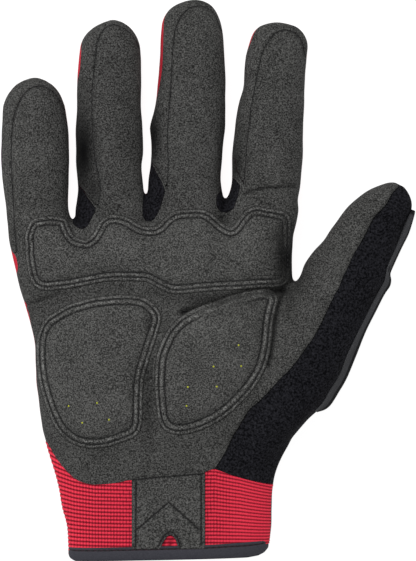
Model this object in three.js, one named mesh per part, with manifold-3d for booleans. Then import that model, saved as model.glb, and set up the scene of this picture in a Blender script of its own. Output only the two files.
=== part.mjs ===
// A right-hand impact work glove that lies on its back with the palm up, in millimetres.
// x runs across the palm towards the thumb, y from the cuff to the fingertips and z up from the surface.
// The hand, the four fingers and the thumb are lofted tubes. The cloth panels are regions of their joined
// wall, and the pads, the tab and the moulded guards are regions of a thicker copy of the same form.

import * as THREE from 'three';
import { mergeVertices } from 'three/addons/utils/BufferGeometryUtils.js';
import Module from 'manifold-3d';

const wasm = await Module();
wasm.setup();

// The hand, measured along it and across it.
const PALM_LENGTH = 115;
const PALM_WIDTH = 129;
const CUFF_LENGTH = 35.3;
const CUFF_WIDTH = 94.4;
const CUFF_SHIFT = 6.9;
const ROOT_DEPTH = 5;

// Half depths on the palm side and on the back, from the side seam.
const PALM_FRONT = 17;
const CUFF_FRONT = 14.6;
const HAND_BACK = 10.8;
const CUFF_BACK = 14.3;
const FINGER_FRONT = 10.6;
const FINGER_BACK = 10.6;
const THUMB_FRONT = 16;
const THUMB_BACK = 10.8;

// Walls, layers and fits.
const WALL = 1.6;
const GAP = 0.3;
const PAD_THICKNESS = 3;
const TAB_THICKNESS = 1.7;
const GUARD_THICKNESS = 4.4;
const THUMB_GUARD_THICKNESS = 4.2;
const BINDING_WIDTH = 4.8;
const BINDING_THICKNESS = 0.9;
const REST_TRIM = 0.4;

// The fingers and the thumb, from root to tip and side to side.
const LITTLE_LENGTH = 65.1;
const LITTLE_WIDTH = 30.8;
const RING_LENGTH = 87.4;
const RING_WIDTH = 31;
const MIDDLE_LENGTH = 93.3;
const MIDDLE_WIDTH = 32.8;
const INDEX_LENGTH = 83.3;
const INDEX_WIDTH = 31.4;
const THUMB_LENGTH = 140;
const THUMB_WIDTH = 38;
const THUMB_TURN = 29.2;

// The depth of the side seam above the surface: the guards under the hand reach it, less a flat trim.
const SEAM_Z = HAND_BACK + GUARD_THICKNESS - REST_TRIM;

// Cutting prisms reach well past the glove.
const TALL = 3 * (PALM_FRONT + PAD_THICKNESS + SEAM_Z);
const FAR = 2 * (CUFF_LENGTH + PALM_LENGTH + THUMB_LENGTH);
const HAND_SIDES = 28;
const FINGER_SIDES = 18;
const LINING_SIDES = 0.7;
const TIP_STEPS = 3;
const HAND_SQUARENESS = 2.6;
const FINGER_SQUARENESS = 2.2;

// Each finger: its root in shares of the palm, its own length and width, its lean in degrees, and the place
// of its side seam in shares of its half width, low on the finger and near the tip.
const FINGERS = [
  { name: 'little', x: -0.382, y: 0, length: LITTLE_LENGTH, width: LITTLE_WIDTH,
    lean: -2.6, seamLow: -0.72, seamHigh: -0.6 },
  { name: 'ring', x: -0.14, y: 0.031, length: RING_LENGTH, width: RING_WIDTH,
    lean: 0.4, seamLow: -0.46, seamHigh: -0.5 },
  { name: 'middle', x: 0.117, y: 0.059, length: MIDDLE_LENGTH, width: MIDDLE_WIDTH,
    lean: 2.6, seamLow: -0.56, seamHigh: -0.6 },
  { name: 'index', x: 0.382, y: 0.059, length: INDEX_LENGTH, width: INDEX_WIDTH,
    lean: 4.9, seamLow: -0.59, seamHigh: -0.57 },
];

// Sections of a finger, from its root up, in shares of its length, width and depths.
const FINGER_ROWS = [
  { along: -0.18, width: 0.84, front: 0.96, back: 0.9 },
  { along: 0.02, width: 1.08, front: 1, back: 0.96 },
  { along: 0.2, width: 0.97, front: 1, back: 1 },
  { along: 0.4, width: 1, front: 1.03, back: 1 },
  { along: 0.64, width: 0.95, front: 0.98, back: 1 },
];
const TIP_WIDTH = 0.92;
const TIP_SQUARENESS = 2.3;

// Sections of the hand from the finger roots down to the wrist, in shares of the palm.
const PALM_ROWS = [
  { along: 0, left: -0.5, right: 0.498, front: 0.72, back: 1 },
  { along: 0.09, left: -0.487, right: 0.489, front: 0.82, back: 1 },
  { along: 0.223, left: -0.459, right: 0.488, front: 0.92, back: 1 },
  { along: 0.395, left: -0.42, right: 0.52, front: 0.98, back: 1 },
  { along: 0.56, left: -0.404, right: 0.56, front: 1, back: 1 },
  { along: 0.716, left: -0.392, right: 0.552, front: 1, back: 1.04 },
  { along: 0.849, left: -0.372, right: 0.49, front: 0.95, back: 1.1 },
  { along: 1, left: -0.33, right: 0.433, front: 0.88, back: 1.2 },
];
const CUFF_ROWS = [
  { along: 0.34, half: 0.5, front: 1, back: 1 },
  { along: 0.87, half: 0.478, front: 1, back: 1 },
];
const HEM_ROW = { along: 1, half: 0.46, front: 0.98, back: 1 };

// Sections of the thumb along its axis, in shares of its length, width and depths, each with its own turn.
const THUMB_BASE = { x: 0.337, y: -0.908 };
const THUMB_ROWS = [
  { along: 0, side: 0, half: 0.39, turn: 0, front: 0.86, back: 0.95 },
  { along: 0.127, side: -0.01, half: 0.49, turn: 0, front: 1.02, back: 1 },
  { along: 0.231, side: -0.027, half: 0.505, turn: 15, front: 1.06, back: 1 },
  { along: 0.356, side: -0.017, half: 0.503, turn: 24, front: 1.02, back: 1 },
  { along: 0.5, side: -0.015, half: 0.457, turn: 28, front: 0.93, back: 1 },
  { along: 0.64, side: -0.05, half: 0.46, turn: 25, front: 0.84, back: 1 },
  { along: 0.79, side: -0.045, half: 0.395, turn: 24, front: 0.76, back: 0.98 },
  { along: 0.86, side: -0.038, half: 0.358, turn: 25, front: 0.72, back: 0.94 },
  { along: 0.921, side: -0.028, half: 0.297, turn: 27, front: 0.64, back: 0.84 },
  { along: 0.963, side: 0, half: 0.2, turn: 29, front: 0.5, back: 0.62 },
];

// Outlines of the three stitched pads, in shares of the palm: x across from its middle, y down it.
const KNUCKLE_PAD = [
  { x: -0.434, y: 0.07 }, { x: -0.415, y: 0 }, { x: -0.362, y: -0.018 }, { x: -0.31, y: -0.006 },
  { x: -0.25, y: 0.077 }, { x: -0.188, y: 0.02 }, { x: -0.126, y: -0.024 }, { x: -0.006, y: 0.03 },
  { x: 0.065, y: -0.026 }, { x: 0.124, y: -0.045 }, { x: 0.188, y: -0.04 }, { x: 0.277, y: 0.033 },
  { x: 0.328, y: -0.03 }, { x: 0.386, y: -0.056 }, { x: 0.462, y: -0.038 }, { x: 0.478, y: 0.07 },
  { x: 0.46, y: 0.22 }, { x: 0.309, y: 0.248 }, { x: 0.134, y: 0.263 }, { x: -0.005, y: 0.224 },
  { x: -0.127, y: 0.212 }, { x: -0.32, y: 0.247 }, { x: -0.405, y: 0.243 }, { x: -0.428, y: 0.165 },
];
const HEEL_PAD = [
  { x: -0.394, y: 0.52 }, { x: -0.375, y: 0.403 }, { x: -0.284, y: 0.332 }, { x: -0.162, y: 0.299 },
  { x: -0.03, y: 0.303 }, { x: 0.019, y: 0.376 }, { x: -0.007, y: 0.481 }, { x: -0.04, y: 0.591 },
  { x: -0.044, y: 0.712 }, { x: -0.05, y: 0.806 }, { x: -0.148, y: 0.861 }, { x: -0.235, y: 0.865 },
  { x: -0.312, y: 0.818 }, { x: -0.354, y: 0.732 }, { x: -0.383, y: 0.626 },
];
const THENAR_PAD = [
  { x: 0.024, y: 0.634 }, { x: 0.033, y: 0.509 }, { x: 0.065, y: 0.43 }, { x: 0.134, y: 0.364 },
  { x: 0.242, y: 0.301 }, { x: 0.368, y: 0.262 }, { x: 0.439, y: 0.293 }, { x: 0.424, y: 0.383 },
  { x: 0.418, y: 0.466 }, { x: 0.375, y: 0.599 }, { x: 0.323, y: 0.681 }, { x: 0.253, y: 0.755 },
  { x: 0.162, y: 0.801 }, { x: 0.082, y: 0.812 }, { x: 0.037, y: 0.775 },
];

// The seam where the palm meets the cuff, in shares of the palm, from its left to its right.
const HEM_SEAM = [
  { x: -0.6, y: 0.78 }, { x: -0.344, y: 0.912 }, { x: -0.274, y: 1 }, { x: -0.204, y: 1.025 },
  { x: -0.057, y: 1.007 }, { x: 0.079, y: 0.989 }, { x: 0.225, y: 0.965 }, { x: 0.29, y: 0.992 },
  { x: 0.373, y: 1.017 }, { x: 0.6, y: 1.045 },
];

// Seams of the thumb, in shares of its length and width: with the palm, and of its grey and black suede.
const THUMB_PALM_SEAM = [
  { side: -0.535, along: 0.56 }, { side: -0.574, along: 0.482 }, { side: -0.424, along: 0.377 },
  { side: -0.316, along: 0.272 }, { side: -0.322, along: 0.15 }, { side: -0.35, along: 0.105 },
];
const THUMB_COLOUR_SEAM = [
  { side: -0.254, along: 0.094 }, { side: -0.198, along: 0.165 }, { side: -0.109, along: 0.26 },
  { side: -0.02, along: 0.39 }, { side: -0.01, along: 0.5 }, { side: -0.05, along: 0.638 },
  { side: -0.07, along: 0.73 }, { side: -0.047, along: 0.87 }, { side: 0.02, along: 0.985 },
];
const THUMB_WRIST_SEAM = [{ side: -0.263, along: -0.092 }, { side: -0.262, along: 0.02 }];
const THUMB_OUTER_SEAM = [{ side: -0.7, along: 1.1 }, { side: -0.7, along: 0.75 }];
const THUMB_GUARD_EDGE = [
  { side: 0.3, along: 0.93 }, { side: 0.361, along: 0.789 }, { side: 0.42, along: 0.643 },
  { side: 0.44, along: 0.475 }, { side: 0.477, along: 0.344 }, { side: 0.434, along: 0.216 },
];
const THUMB_GUARD_BACK = { sideLow: 0.1, sideHigh: 0.05 };

// The webs between the fingers: middle and half sizes in shares of the palm, and the lean in degrees.
const WEBS = [
  { name: 'web_gusset_little_ring', x: -0.233, y: 0.054, half: 0.044, tall: 0.088, lean: -12 },
  { name: 'web_gusset_ring_middle', x: 0.01, y: 0.108, half: 0.042, tall: 0.11, lean: 6 },
  { name: 'web_gusset_middle_index', x: 0.266, y: 0.098, half: 0.046, tall: 0.072, lean: 0 },
];

// The tab on the cuff, in shares of the palm width and the cuff length, with its round notch.
const TAB = { left: -0.069, right: 0.1875, top: 0.03, bottom: 0.845, notch: 0.031, notchRise: 0.12, x: 0.065 };

// The moulded guards on the back: each finger has two, in shares of its length and half width, and the
// knuckle guard is a plate with one lobe for each finger.
const FINGER_GUARDS = [
  { name: 'near', from: 0.2, to: 0.44, half: 0.66 },
  { name: 'far', from: 0.54, to: 0.84, half: 0.6 },
];
const KNUCKLE_GUARD = [
  { x: -0.42, y: 0.03 }, { x: -0.385, y: -0.03 }, { x: -0.33, y: -0.01 }, { x: -0.26, y: 0.05 },
  { x: -0.19, y: -0.02 }, { x: -0.14, y: -0.06 }, { x: -0.08, y: -0.03 }, { x: -0.01, y: 0.03 },
  { x: 0.06, y: -0.05 }, { x: 0.117, y: -0.085 }, { x: 0.18, y: -0.05 }, { x: 0.25, y: 0.02 },
  { x: 0.32, y: -0.05 }, { x: 0.375, y: -0.07 }, { x: 0.43, y: -0.02 }, { x: 0.44, y: 0.1 },
  { x: 0.33, y: 0.24 }, { x: 0.1, y: 0.32 }, { x: -0.18, y: 0.29 }, { x: -0.37, y: 0.2 },
];

const SUEDE = { color: 0x464642, roughness: 0.95, metalness: 0 };
const DARK_SUEDE = { color: 0x2f2f2d, roughness: 0.95, metalness: 0 };
const BLACK_SUEDE = { color: 0x16161a, roughness: 0.95, metalness: 0 };
const RED_CLOTH = { color: 0xb91e32, roughness: 0.85, metalness: 0 };
const RED_ELASTIC = { color: 0xc92a45, roughness: 0.85, metalness: 0 };
const SLATE_CLOTH = { color: 0x3c3c42, roughness: 0.9, metalness: 0 };
const MOULDED = { color: 0x3a3b3e, roughness: 0.6, metalness: 0 };

const glove = new THREE.Group();

function solidOf(geometry) {
  geometry.deleteAttribute('normal');
  geometry.deleteAttribute('uv');
  const merged = mergeVertices(geometry, 1e-5);
  return new wasm.Manifold(new wasm.Mesh({
    numProp: 3,
    vertProperties: new Float32Array(merged.attributes.position.array),
    triVerts: new Uint32Array(merged.index.array),
  }));
}

function addPiece(name, solid, look) {
  const mesh = solid.getMesh();
  const geometry = new THREE.BufferGeometry();
  geometry.setAttribute('position', new THREE.BufferAttribute(new Float32Array(mesh.vertProperties), 3));
  geometry.setIndex(new THREE.BufferAttribute(new Uint32Array(mesh.triVerts), 1));
  const piece = new THREE.Mesh(geometry, new THREE.MeshStandardMaterial(look));
  piece.name = name;
  glove.add(piece);
}

// A closed tube through rings of points in order from the wrist to the tip, each end closed to a point.
function loft(rings, first, last) {
  const count = rings[0].length;
  const points = [...rings.flat(), first, last];
  const index = [];
  for (let i = 0; i < count; i += 1) {
    const next = (i + 1) % count;
    for (let ring = 0; ring < rings.length - 1; ring += 1) {
      const a = ring * count + i;
      const b = ring * count + next;
      index.push(a, b + count, b, a, a + count, b + count);
    }
    const top = (rings.length - 1) * count;
    index.push(points.length - 2, i, next);
    index.push(points.length - 1, top + next, top + i);
  }
  const geometry = new THREE.BufferGeometry().setFromPoints(points);
  geometry.setIndex(index);
  return solidOf(geometry);
}

// One section: a squared ellipse across the direction turn, deeper or shallower above and below the seam.
function ringAt({ x, y, turn = 0, half, front, back }, sides, squareness) {
  const across = new THREE.Vector2(1, 0).rotateAround(new THREE.Vector2(), THREE.MathUtils.degToRad(-turn));
  const points = [];
  for (let i = 0; i < sides; i += 1) {
    const angle = (i / sides) * 2 * Math.PI;
    const c = Math.cos(angle);
    const s = Math.sin(angle);
    const reach = half * Math.sign(c) * Math.abs(c) ** (2 / squareness);
    const depth = (s > 0 ? front : back) * Math.sign(s) * Math.abs(s) ** (2 / squareness);
    points.push(new THREE.Vector3(x + across.x * reach, y + across.y * reach, SEAM_Z + depth));
  }
  return points;
}

// The inner face of the wall needs fewer sides than the outer one.
function sidesFor(sides, grow) {
  return grow < 0 ? 2 * Math.round((sides * LINING_SIDES) / 2) : sides;
}

function palmPoint({ x, y }) {
  return new THREE.Vector2(x * PALM_WIDTH, -y * PALM_LENGTH);
}

// The hand and the cuff as one tube. The mouth is how far it runs on past the hem.
function handForm(grow, mouth = 0) {
  const sides = sidesFor(HAND_SIDES, grow);
  const hemY = -PALM_LENGTH - CUFF_LENGTH - mouth;
  const cuff = [HEM_ROW, ...[...CUFF_ROWS].reverse()].map((row) => ({
    x: CUFF_SHIFT,
    y: row === HEM_ROW ? hemY : -PALM_LENGTH - row.along * CUFF_LENGTH,
    half: row.half * CUFF_WIDTH + grow,
    front: row.front * CUFF_FRONT + grow,
    back: row.back * CUFF_BACK + grow,
  }));
  const palm = [...PALM_ROWS].reverse().map((row) => ({
    x: ((row.left + row.right) / 2) * PALM_WIDTH,
    y: -row.along * PALM_LENGTH,
    half: ((row.right - row.left) / 2) * PALM_WIDTH + grow,
    front: row.front * PALM_FRONT + grow,
    back: row.back * HAND_BACK + grow,
  }));
  const rings = [...cuff, ...palm].map((row) => ringAt(row, sides, HAND_SQUARENESS));
  const first = new THREE.Vector3(CUFF_SHIFT, hemY, SEAM_Z);
  const last = new THREE.Vector3(0, ROOT_DEPTH + grow, SEAM_Z);
  return loft(rings, first, last);
}

function fingerPoint(finger, across, along) {
  const root = new THREE.Vector2(finger.x * PALM_WIDTH, finger.y * PALM_LENGTH);
  const point = new THREE.Vector2((across * finger.width) / 2, along * finger.length).add(root);
  return point.rotateAround(root, THREE.MathUtils.degToRad(-finger.lean));
}

// A finger: its straight sections, then a round tip as long as it is wide.
function fingerForm(finger, grow) {
  const tipHalf = (finger.width * TIP_WIDTH) / 2;
  const rows = FINGER_ROWS.map((row) => ({
    along: row.along * finger.length,
    half: (row.width * finger.width) / 2 + grow,
    front: row.front * FINGER_FRONT + grow,
    back: row.back * FINGER_BACK + grow,
  }));
  for (let step = 0; step < TIP_STEPS; step += 1) {
    const rise = Math.sin((step / TIP_STEPS) * (Math.PI / 2));
    const narrow = (1 - rise ** TIP_SQUARENESS) ** (1 / TIP_SQUARENESS);
    rows.push({
      along: finger.length - tipHalf + (tipHalf + grow) * rise,
      half: (tipHalf + grow) * narrow,
      front: (FINGER_FRONT + grow) * narrow,
      back: (FINGER_BACK + grow) * narrow,
    });
  }
  const rings = rows.map((row) => {
    const { x, y } = fingerPoint(finger, 0, row.along / finger.length);
    return ringAt({ ...row, x, y, turn: finger.lean }, sidesFor(FINGER_SIDES, grow), FINGER_SQUARENESS);
  });
  const start = fingerPoint(finger, 0, rows[0].along / finger.length);
  const tip = fingerPoint(finger, 0, 1 + grow / finger.length);
  return loft(rings, new THREE.Vector3(start.x, start.y, SEAM_Z), new THREE.Vector3(tip.x, tip.y, SEAM_Z));
}

function thumbPoint({ side, along }) {
  const base = palmPoint({ x: THUMB_BASE.x, y: -THUMB_BASE.y });
  const point = new THREE.Vector2(side * THUMB_WIDTH, along * THUMB_LENGTH).add(base);
  return point.rotateAround(base, THREE.MathUtils.degToRad(-THUMB_TURN));
}

function thumbForm(grow) {
  const rings = THUMB_ROWS.map((row) => {
    const { x, y } = thumbPoint(row);
    const half = row.half * THUMB_WIDTH + grow;
    const front = row.front * THUMB_FRONT + grow;
    const back = row.back * THUMB_BACK + grow;
    const section = { x, y, turn: row.turn, half, front, back };
    return ringAt(section, sidesFor(FINGER_SIDES, grow), FINGER_SQUARENESS);
  });
  const start = thumbPoint({ side: 0, along: -0.05 });
  const tip = thumbPoint({ side: 0.01, along: 1 + grow / THUMB_LENGTH });
  return loft(rings, new THREE.Vector3(start.x, start.y, SEAM_Z), new THREE.Vector3(tip.x, tip.y, SEAM_Z));
}

function gloveForm(grow, mouth = 0) {
  const fingers = FINGERS.map((finger) => fingerForm(finger, grow));
  return [handForm(grow, mouth), thumbForm(grow), ...fingers].reduce((all, part) => all.add(part));
}

// An upright prism over an outline, between two heights.
function prism(outline, low = -TALL, high = TALL) {
  const depth = high - low;
  const geometry = new THREE.ExtrudeGeometry(new THREE.Shape(outline), { depth, bevelEnabled: false });
  return solidOf(geometry.translate(0, 0, low));
}

// The same outline moved out by a distance along the normal of each corner.
function spread(outline, distance) {
  const anticlockwise = THREE.ShapeUtils.isClockWise(outline) ? -1 : 1;
  return outline.map((point, i) => {
    const before = outline[(i + outline.length - 1) % outline.length];
    const after = outline[(i + 1) % outline.length];
    const along = after.clone().sub(before).normalize();
    const out = new THREE.Vector2(along.y, -along.x).multiplyScalar(distance * anticlockwise);
    return point.clone().add(out);
  });
}

// A smooth closed outline through a few points.
function rounded(points, steps = 2) {
  const corners = points.map((point) => new THREE.Vector3(point.x, point.y, 0));
  const curve = new THREE.CatmullRomCurve3(corners, true, 'centripetal');
  return curve.getPoints(points.length * steps).slice(0, -1).map(({ x, y }) => new THREE.Vector2(x, y));
}

const everywhere = [[-FAR, -FAR], [FAR, -FAR], [FAR, FAR], [-FAR, FAR]].map(([x, y]) => new THREE.Vector2(x, y));
const above = prism(everywhere, SEAM_Z + GAP / 2, SEAM_Z + TALL);
const below = prism(everywhere, 0, SEAM_Z - GAP / 2);
const hemY = -PALM_LENGTH - CUFF_LENGTH;
const bindingY = hemY + BINDING_WIDTH;

function acrossHand(lowY, highY) {
  return prism([[-FAR, lowY], [FAR, lowY], [FAR, highY], [-FAR, highY]].map(([x, y]) => new THREE.Vector2(x, y)));
}

// The wall of the whole glove, open at the wrist, above the binding.
const wall = gloveForm(0).subtract(gloveForm(-WALL, FAR)).intersect(acrossHand(bindingY + GAP, FAR));
const frontWall = wall.intersect(above);
const backWall = wall.intersect(below);
const outerSkin = gloveForm(GAP);

// The main body of a cut piece, without the offcuts that a seam can leave beside it.
function largest(solid) {
  return solid.decompose().reduce((most, body) => (body.volume() > most.volume() ? body : most));
}

// Takes regions out of a wall one by one, with a gap round each, and returns what is left. A region of one
// finger stops where that finger does.
function takeRegions(from, regions) {
  return regions.reduce((rest, { name, outline, look, finger }) => {
    const region = prism(outline);
    const cleared = prism(spread(outline, GAP));
    addPiece(name, largest(rest.intersect(finger ? region.intersect(fingerForm(finger, GAP)) : region)), look);
    return rest.subtract(finger ? cleared.intersect(fingerForm(finger, 2 * GAP)) : cleared);
  }, from);
}

function cuffOutline() {
  const seam = HEM_SEAM.map(palmPoint);
  const low = hemY - CUFF_LENGTH;
  return [...seam, new THREE.Vector2(FAR / 2, low), new THREE.Vector2(-FAR / 2, low)];
}

function sideOutline(finger) {
  const seam = [
    { across: -0.52, along: 0.06 },
    { across: finger.seamLow, along: 0.2 },
    { across: finger.seamLow, along: 0.42 },
    { across: finger.seamHigh - 0.04, along: 0.62 },
    { across: finger.seamHigh, along: 0.8 },
    { across: finger.seamHigh + 0.12, along: 0.9 },
    { across: -0.12, along: 0.96 },
    { across: 0.3, along: 0.965 },
    { across: 0.72, along: 0.91 },
    { across: 1.3, along: 0.78 },
    { across: 1.3, along: 1.2 },
    { across: -1.3, along: 1.2 },
    { across: -1.3, along: 0.17 },
  ];
  return seam.map(({ across, along }) => fingerPoint(finger, across, along));
}

function littleSideOutline(finger) {
  const outline = sideOutline(finger);
  outline[0] = fingerPoint(finger, finger.seamLow, -0.1);
  outline[outline.length - 1] = fingerPoint(finger, -1.3, -0.2);
  return outline;
}

function webOutline({ x, y, half, tall, lean }) {
  const middle = palmPoint({ x, y: -y });
  const corners = [[0, 1], [0.62, 0.55], [1, 0], [0.7, -0.6], [0, -1], [-0.8, -0.7], [-1, 0], [-0.6, 0.6]];
  return corners.map(([across, up]) => new THREE.Vector2(across * half * PALM_WIDTH, up * tall * PALM_LENGTH)
    .add(middle).rotateAround(middle, THREE.MathUtils.degToRad(lean)));
}

const thumbInside = THUMB_PALM_SEAM.map(thumbPoint);
const thumbColour = THUMB_COLOUR_SEAM.map(thumbPoint);
const thumbWrist = THUMB_WRIST_SEAM.map(thumbPoint);
const wristRight = HEM_SEAM.slice(-2).map(palmPoint);

// The black band runs from the tip down the outer side and on to the cuff.
const bandOutline = [
  ...thumbWrist, ...thumbColour, thumbPoint({ side: 0.1, along: 1.2 }), thumbPoint({ side: 1.2, along: 1.1 }),
  thumbPoint({ side: 1.6, along: 0.2 }), wristRight[1], wristRight[0].clone().setY(wristRight[0].y + GAP),
];
const panelOutline = [
  ...thumbInside, ...thumbColour, thumbPoint({ side: 0.05, along: 1.2 }),
  ...THUMB_OUTER_SEAM.map(thumbPoint),
];

const palmRest = takeRegions(frontWall, [
  { name: 'cuff_band', outline: cuffOutline(), look: RED_ELASTIC },
  { name: 'thumb_band', outline: bandOutline, look: BLACK_SUEDE },
  { name: 'thumb_panel', outline: panelOutline, look: SUEDE },
  ...FINGERS.map((finger) => ({
    name: `${finger.name}_side`,
    outline: finger.name === 'little' ? littleSideOutline(finger) : sideOutline(finger),
    look: DARK_SUEDE,
    finger,
  })),
  ...WEBS.map((web) => ({ name: web.name, outline: webOutline(web), look: BLACK_SUEDE })),
]);
addPiece('palm_panel', largest(palmRest), SUEDE);

// Behind, the cuff and the thumb have panels of their own and the rest is one piece of stretch cloth.
const thumbBackOutline = [
  thumbPoint({ side: -0.55, along: 0.56 }), thumbPoint({ side: -0.42, along: 0.36 }),
  thumbPoint({ side: -0.1, along: 0.12 }), palmPoint({ x: 0.35, y: 0.98 }), wristRight[1],
  thumbPoint({ side: 1.6, along: 0.2 }), thumbPoint({ side: 1.2, along: 1.2 }),
  ...THUMB_OUTER_SEAM.map(thumbPoint),
];
const backRest = takeRegions(backWall, [
  { name: 'cuff_back', outline: cuffOutline(), look: SLATE_CLOTH },
  { name: 'thumb_back', outline: thumbBackOutline, look: BLACK_SUEDE },
]);
addPiece('back_panel', largest(backRest), RED_CLOTH);

// The pads and the tab are layers that lie on the palm side.
function addLayer(name, thickness, outline, look) {
  addPiece(name, gloveForm(thickness).intersect(prism(outline, SEAM_Z)).subtract(outerSkin), look);
}

function tabOutline() {
  const left = TAB.left * PALM_WIDTH;
  const right = TAB.right * PALM_WIDTH;
  const top = -PALM_LENGTH - TAB.top * CUFF_LENGTH;
  const bottom = -PALM_LENGTH - TAB.bottom * CUFF_LENGTH;
  const notch = TAB.notch * CUFF_WIDTH;
  const middle = TAB.x * PALM_WIDTH;
  const shape = new THREE.Shape();
  shape.moveTo(left, bottom);
  shape.lineTo(left, top);
  shape.lineTo(right, top);
  shape.lineTo(right, bottom);
  shape.lineTo(middle + notch, bottom);
  shape.absellipse(middle, bottom, notch, TAB.notchRise * CUFF_LENGTH, 0, Math.PI, false);
  return shape.getPoints(8);
}

addLayer('knuckle_pad', PAD_THICKNESS, rounded(KNUCKLE_PAD.map(palmPoint)), SUEDE);
addLayer('heel_pad', PAD_THICKNESS, rounded(HEEL_PAD.map(palmPoint)), SUEDE);
addLayer('thenar_pad', PAD_THICKNESS, rounded(THENAR_PAD.map(palmPoint)), SUEDE);
addLayer('cuff_tab', TAB_THICKNESS, tabOutline(), SUEDE);

// The binding is folded over the hem all round.
const bindingSolid = handForm(BINDING_THICKNESS).subtract(handForm(-WALL, CUFF_LENGTH));
const overSurface = prism(everywhere, 0, SEAM_Z + TALL);
addPiece('cuff_binding', bindingSolid.intersect(acrossHand(hemY - GAP, bindingY)).intersect(overSurface), SLATE_CLOTH);

// The guards are moulded rubber on the back, flat where the glove lies on them.
const guardForm = gloveForm(GUARD_THICKNESS);

function addGuard(name, outline) {
  addPiece(name, guardForm.intersect(prism(outline, 0, SEAM_Z - GAP)).subtract(outerSkin), MOULDED);
}

addGuard('knuckle_guard', rounded(KNUCKLE_GUARD.map(palmPoint), 1));
FINGERS.forEach((finger) => {
  FINGER_GUARDS.forEach(({ name, from, to, half }) => {
    const step = (to - from) / 4;
    const corners = [
      [-half, from + step], [-half * 0.7, from], [half * 0.7, from], [half, from + step],
      [half, to - step], [half * 0.7, to], [-half * 0.7, to], [-half, to - step],
    ];
    addGuard(`${finger.name}_guard_${name}`, corners.map(([across, along]) => fingerPoint(finger, across, along)));
  });
});

// The rim that guards the outer side of the thumb shows beside it from the palm side.
const thumbGuardOutline = [
  ...THUMB_GUARD_EDGE.map(thumbPoint),
  thumbPoint({ side: 0.75, along: 0.2 }), thumbPoint({ side: 0.8, along: 0.5 }), thumbPoint({ side: 0.75, along: 0.93 }),
];
const thumbGuardBelow = [
  thumbPoint({ side: THUMB_GUARD_BACK.sideHigh, along: 0.88 }), thumbPoint({ side: THUMB_GUARD_BACK.sideLow, along: 0.3 }),
  ...[...thumbGuardOutline.slice(-4)],
];
const thumbSkin = thumbForm(THUMB_GUARD_THICKNESS).intersect(overSurface).subtract(outerSkin);
const thumbRim = thumbSkin.intersect(prism(thumbGuardOutline)).subtract(prism(everywhere, SEAM_Z + FINGER_FRONT / 2));
const thumbPlate = thumbSkin.intersect(prism(thumbGuardBelow, 0, SEAM_Z));
addPiece('thumb_guard', thumbRim.add(thumbPlate), MOULDED);

// The origin is under the middle of the glove, on the surface.
const box = new THREE.Box3().setFromObject(glove);
const centre = box.getCenter(new THREE.Vector3());
glove.position.set(-centre.x, -centre.y, -box.min.z);
glove.updateMatrixWorld(true);

export default glove;
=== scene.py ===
import math

import bpy
import numpy as np
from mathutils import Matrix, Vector, noise
from mathutils.bvhtree import BVHTree
from mathutils.geometry import convex_hull_2d


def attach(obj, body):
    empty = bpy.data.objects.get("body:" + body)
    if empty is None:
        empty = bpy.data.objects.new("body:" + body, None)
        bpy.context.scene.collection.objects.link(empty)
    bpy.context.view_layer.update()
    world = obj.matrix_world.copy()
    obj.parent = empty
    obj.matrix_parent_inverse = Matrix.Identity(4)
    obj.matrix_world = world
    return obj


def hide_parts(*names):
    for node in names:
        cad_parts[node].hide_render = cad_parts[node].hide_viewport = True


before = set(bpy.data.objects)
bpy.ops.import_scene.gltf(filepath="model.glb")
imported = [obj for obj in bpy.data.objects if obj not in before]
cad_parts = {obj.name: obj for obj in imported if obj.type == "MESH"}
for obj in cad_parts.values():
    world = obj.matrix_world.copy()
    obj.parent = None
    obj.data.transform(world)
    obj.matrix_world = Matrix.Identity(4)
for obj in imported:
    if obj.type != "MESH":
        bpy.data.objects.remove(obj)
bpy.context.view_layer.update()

# The photographer's table: a pale floor under the glove, soft light from a big overhead panel and two
# side panels, and a long lens straight over the palm. The fingers point up the picture.
PIXEL = 0.00045
ORIGIN_PIXEL = (210.4, 279.0)
PICTURE_MIDDLE = (208.0, 280.5)
PICTURE_TALL = 561
LENS_MM = 200
SENSOR_MM = 36
LENS_UP = LENS_MM / SENSOR_MM * PICTURE_TALL * PIXEL
# The height of the side seams over the table, and how far over them the palm and its pads lie.
SEAM_Z = 0.0148
FRONT_RISE, PAD_RISE = 0.0140, 0.0165
FLOOR_SIZE = 8
FLOOR_GLOW = 0.95
WORLD_GLOW = 0.4
LIGHTS = [("overhead", (-0.35, 0.55, 1.2), 0.9, 16), ("left_panel", (-1.1, 0.2, 0.5), 0.7, 4.5),
          ("right_panel", (1.1, -0.3, 0.8), 0.8, 3.5)]


def place(points):
    """Photograph pixels as metres across and along the glove."""
    p = np.asarray(points, float)
    return np.stack([(p[..., 0] - ORIGIN_PIXEL[0]) * PIXEL, (ORIGIN_PIXEL[1] - p[..., 1]) * PIXEL], -1)


def facing(points, rise=FRONT_RISE):
    """The same for lines on the palm's side, which is nearer to the lens than the silhouette is."""
    middle = np.array(PICTURE_MIDDLE)
    return place(middle + (np.asarray(points, float) - middle) * (1 - rise / LENS_UP))


def pixels(points):
    """Metres across and along the glove as photograph pixels."""
    return points[:, 0] / PIXEL + ORIGIN_PIXEL[0], ORIGIN_PIXEL[1] - points[:, 1] / PIXEL


def area_light(name, where, size, watts):
    """A square panel of light that faces the glove."""
    light = bpy.data.objects.new(name, bpy.data.lights.new(name, "AREA"))
    light.data.size, light.data.energy = size, watts
    light.location = where
    light.rotation_euler = (-Vector(where)).to_track_quat("-Z", "Y").to_euler()
    bpy.context.collection.objects.link(light)


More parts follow.
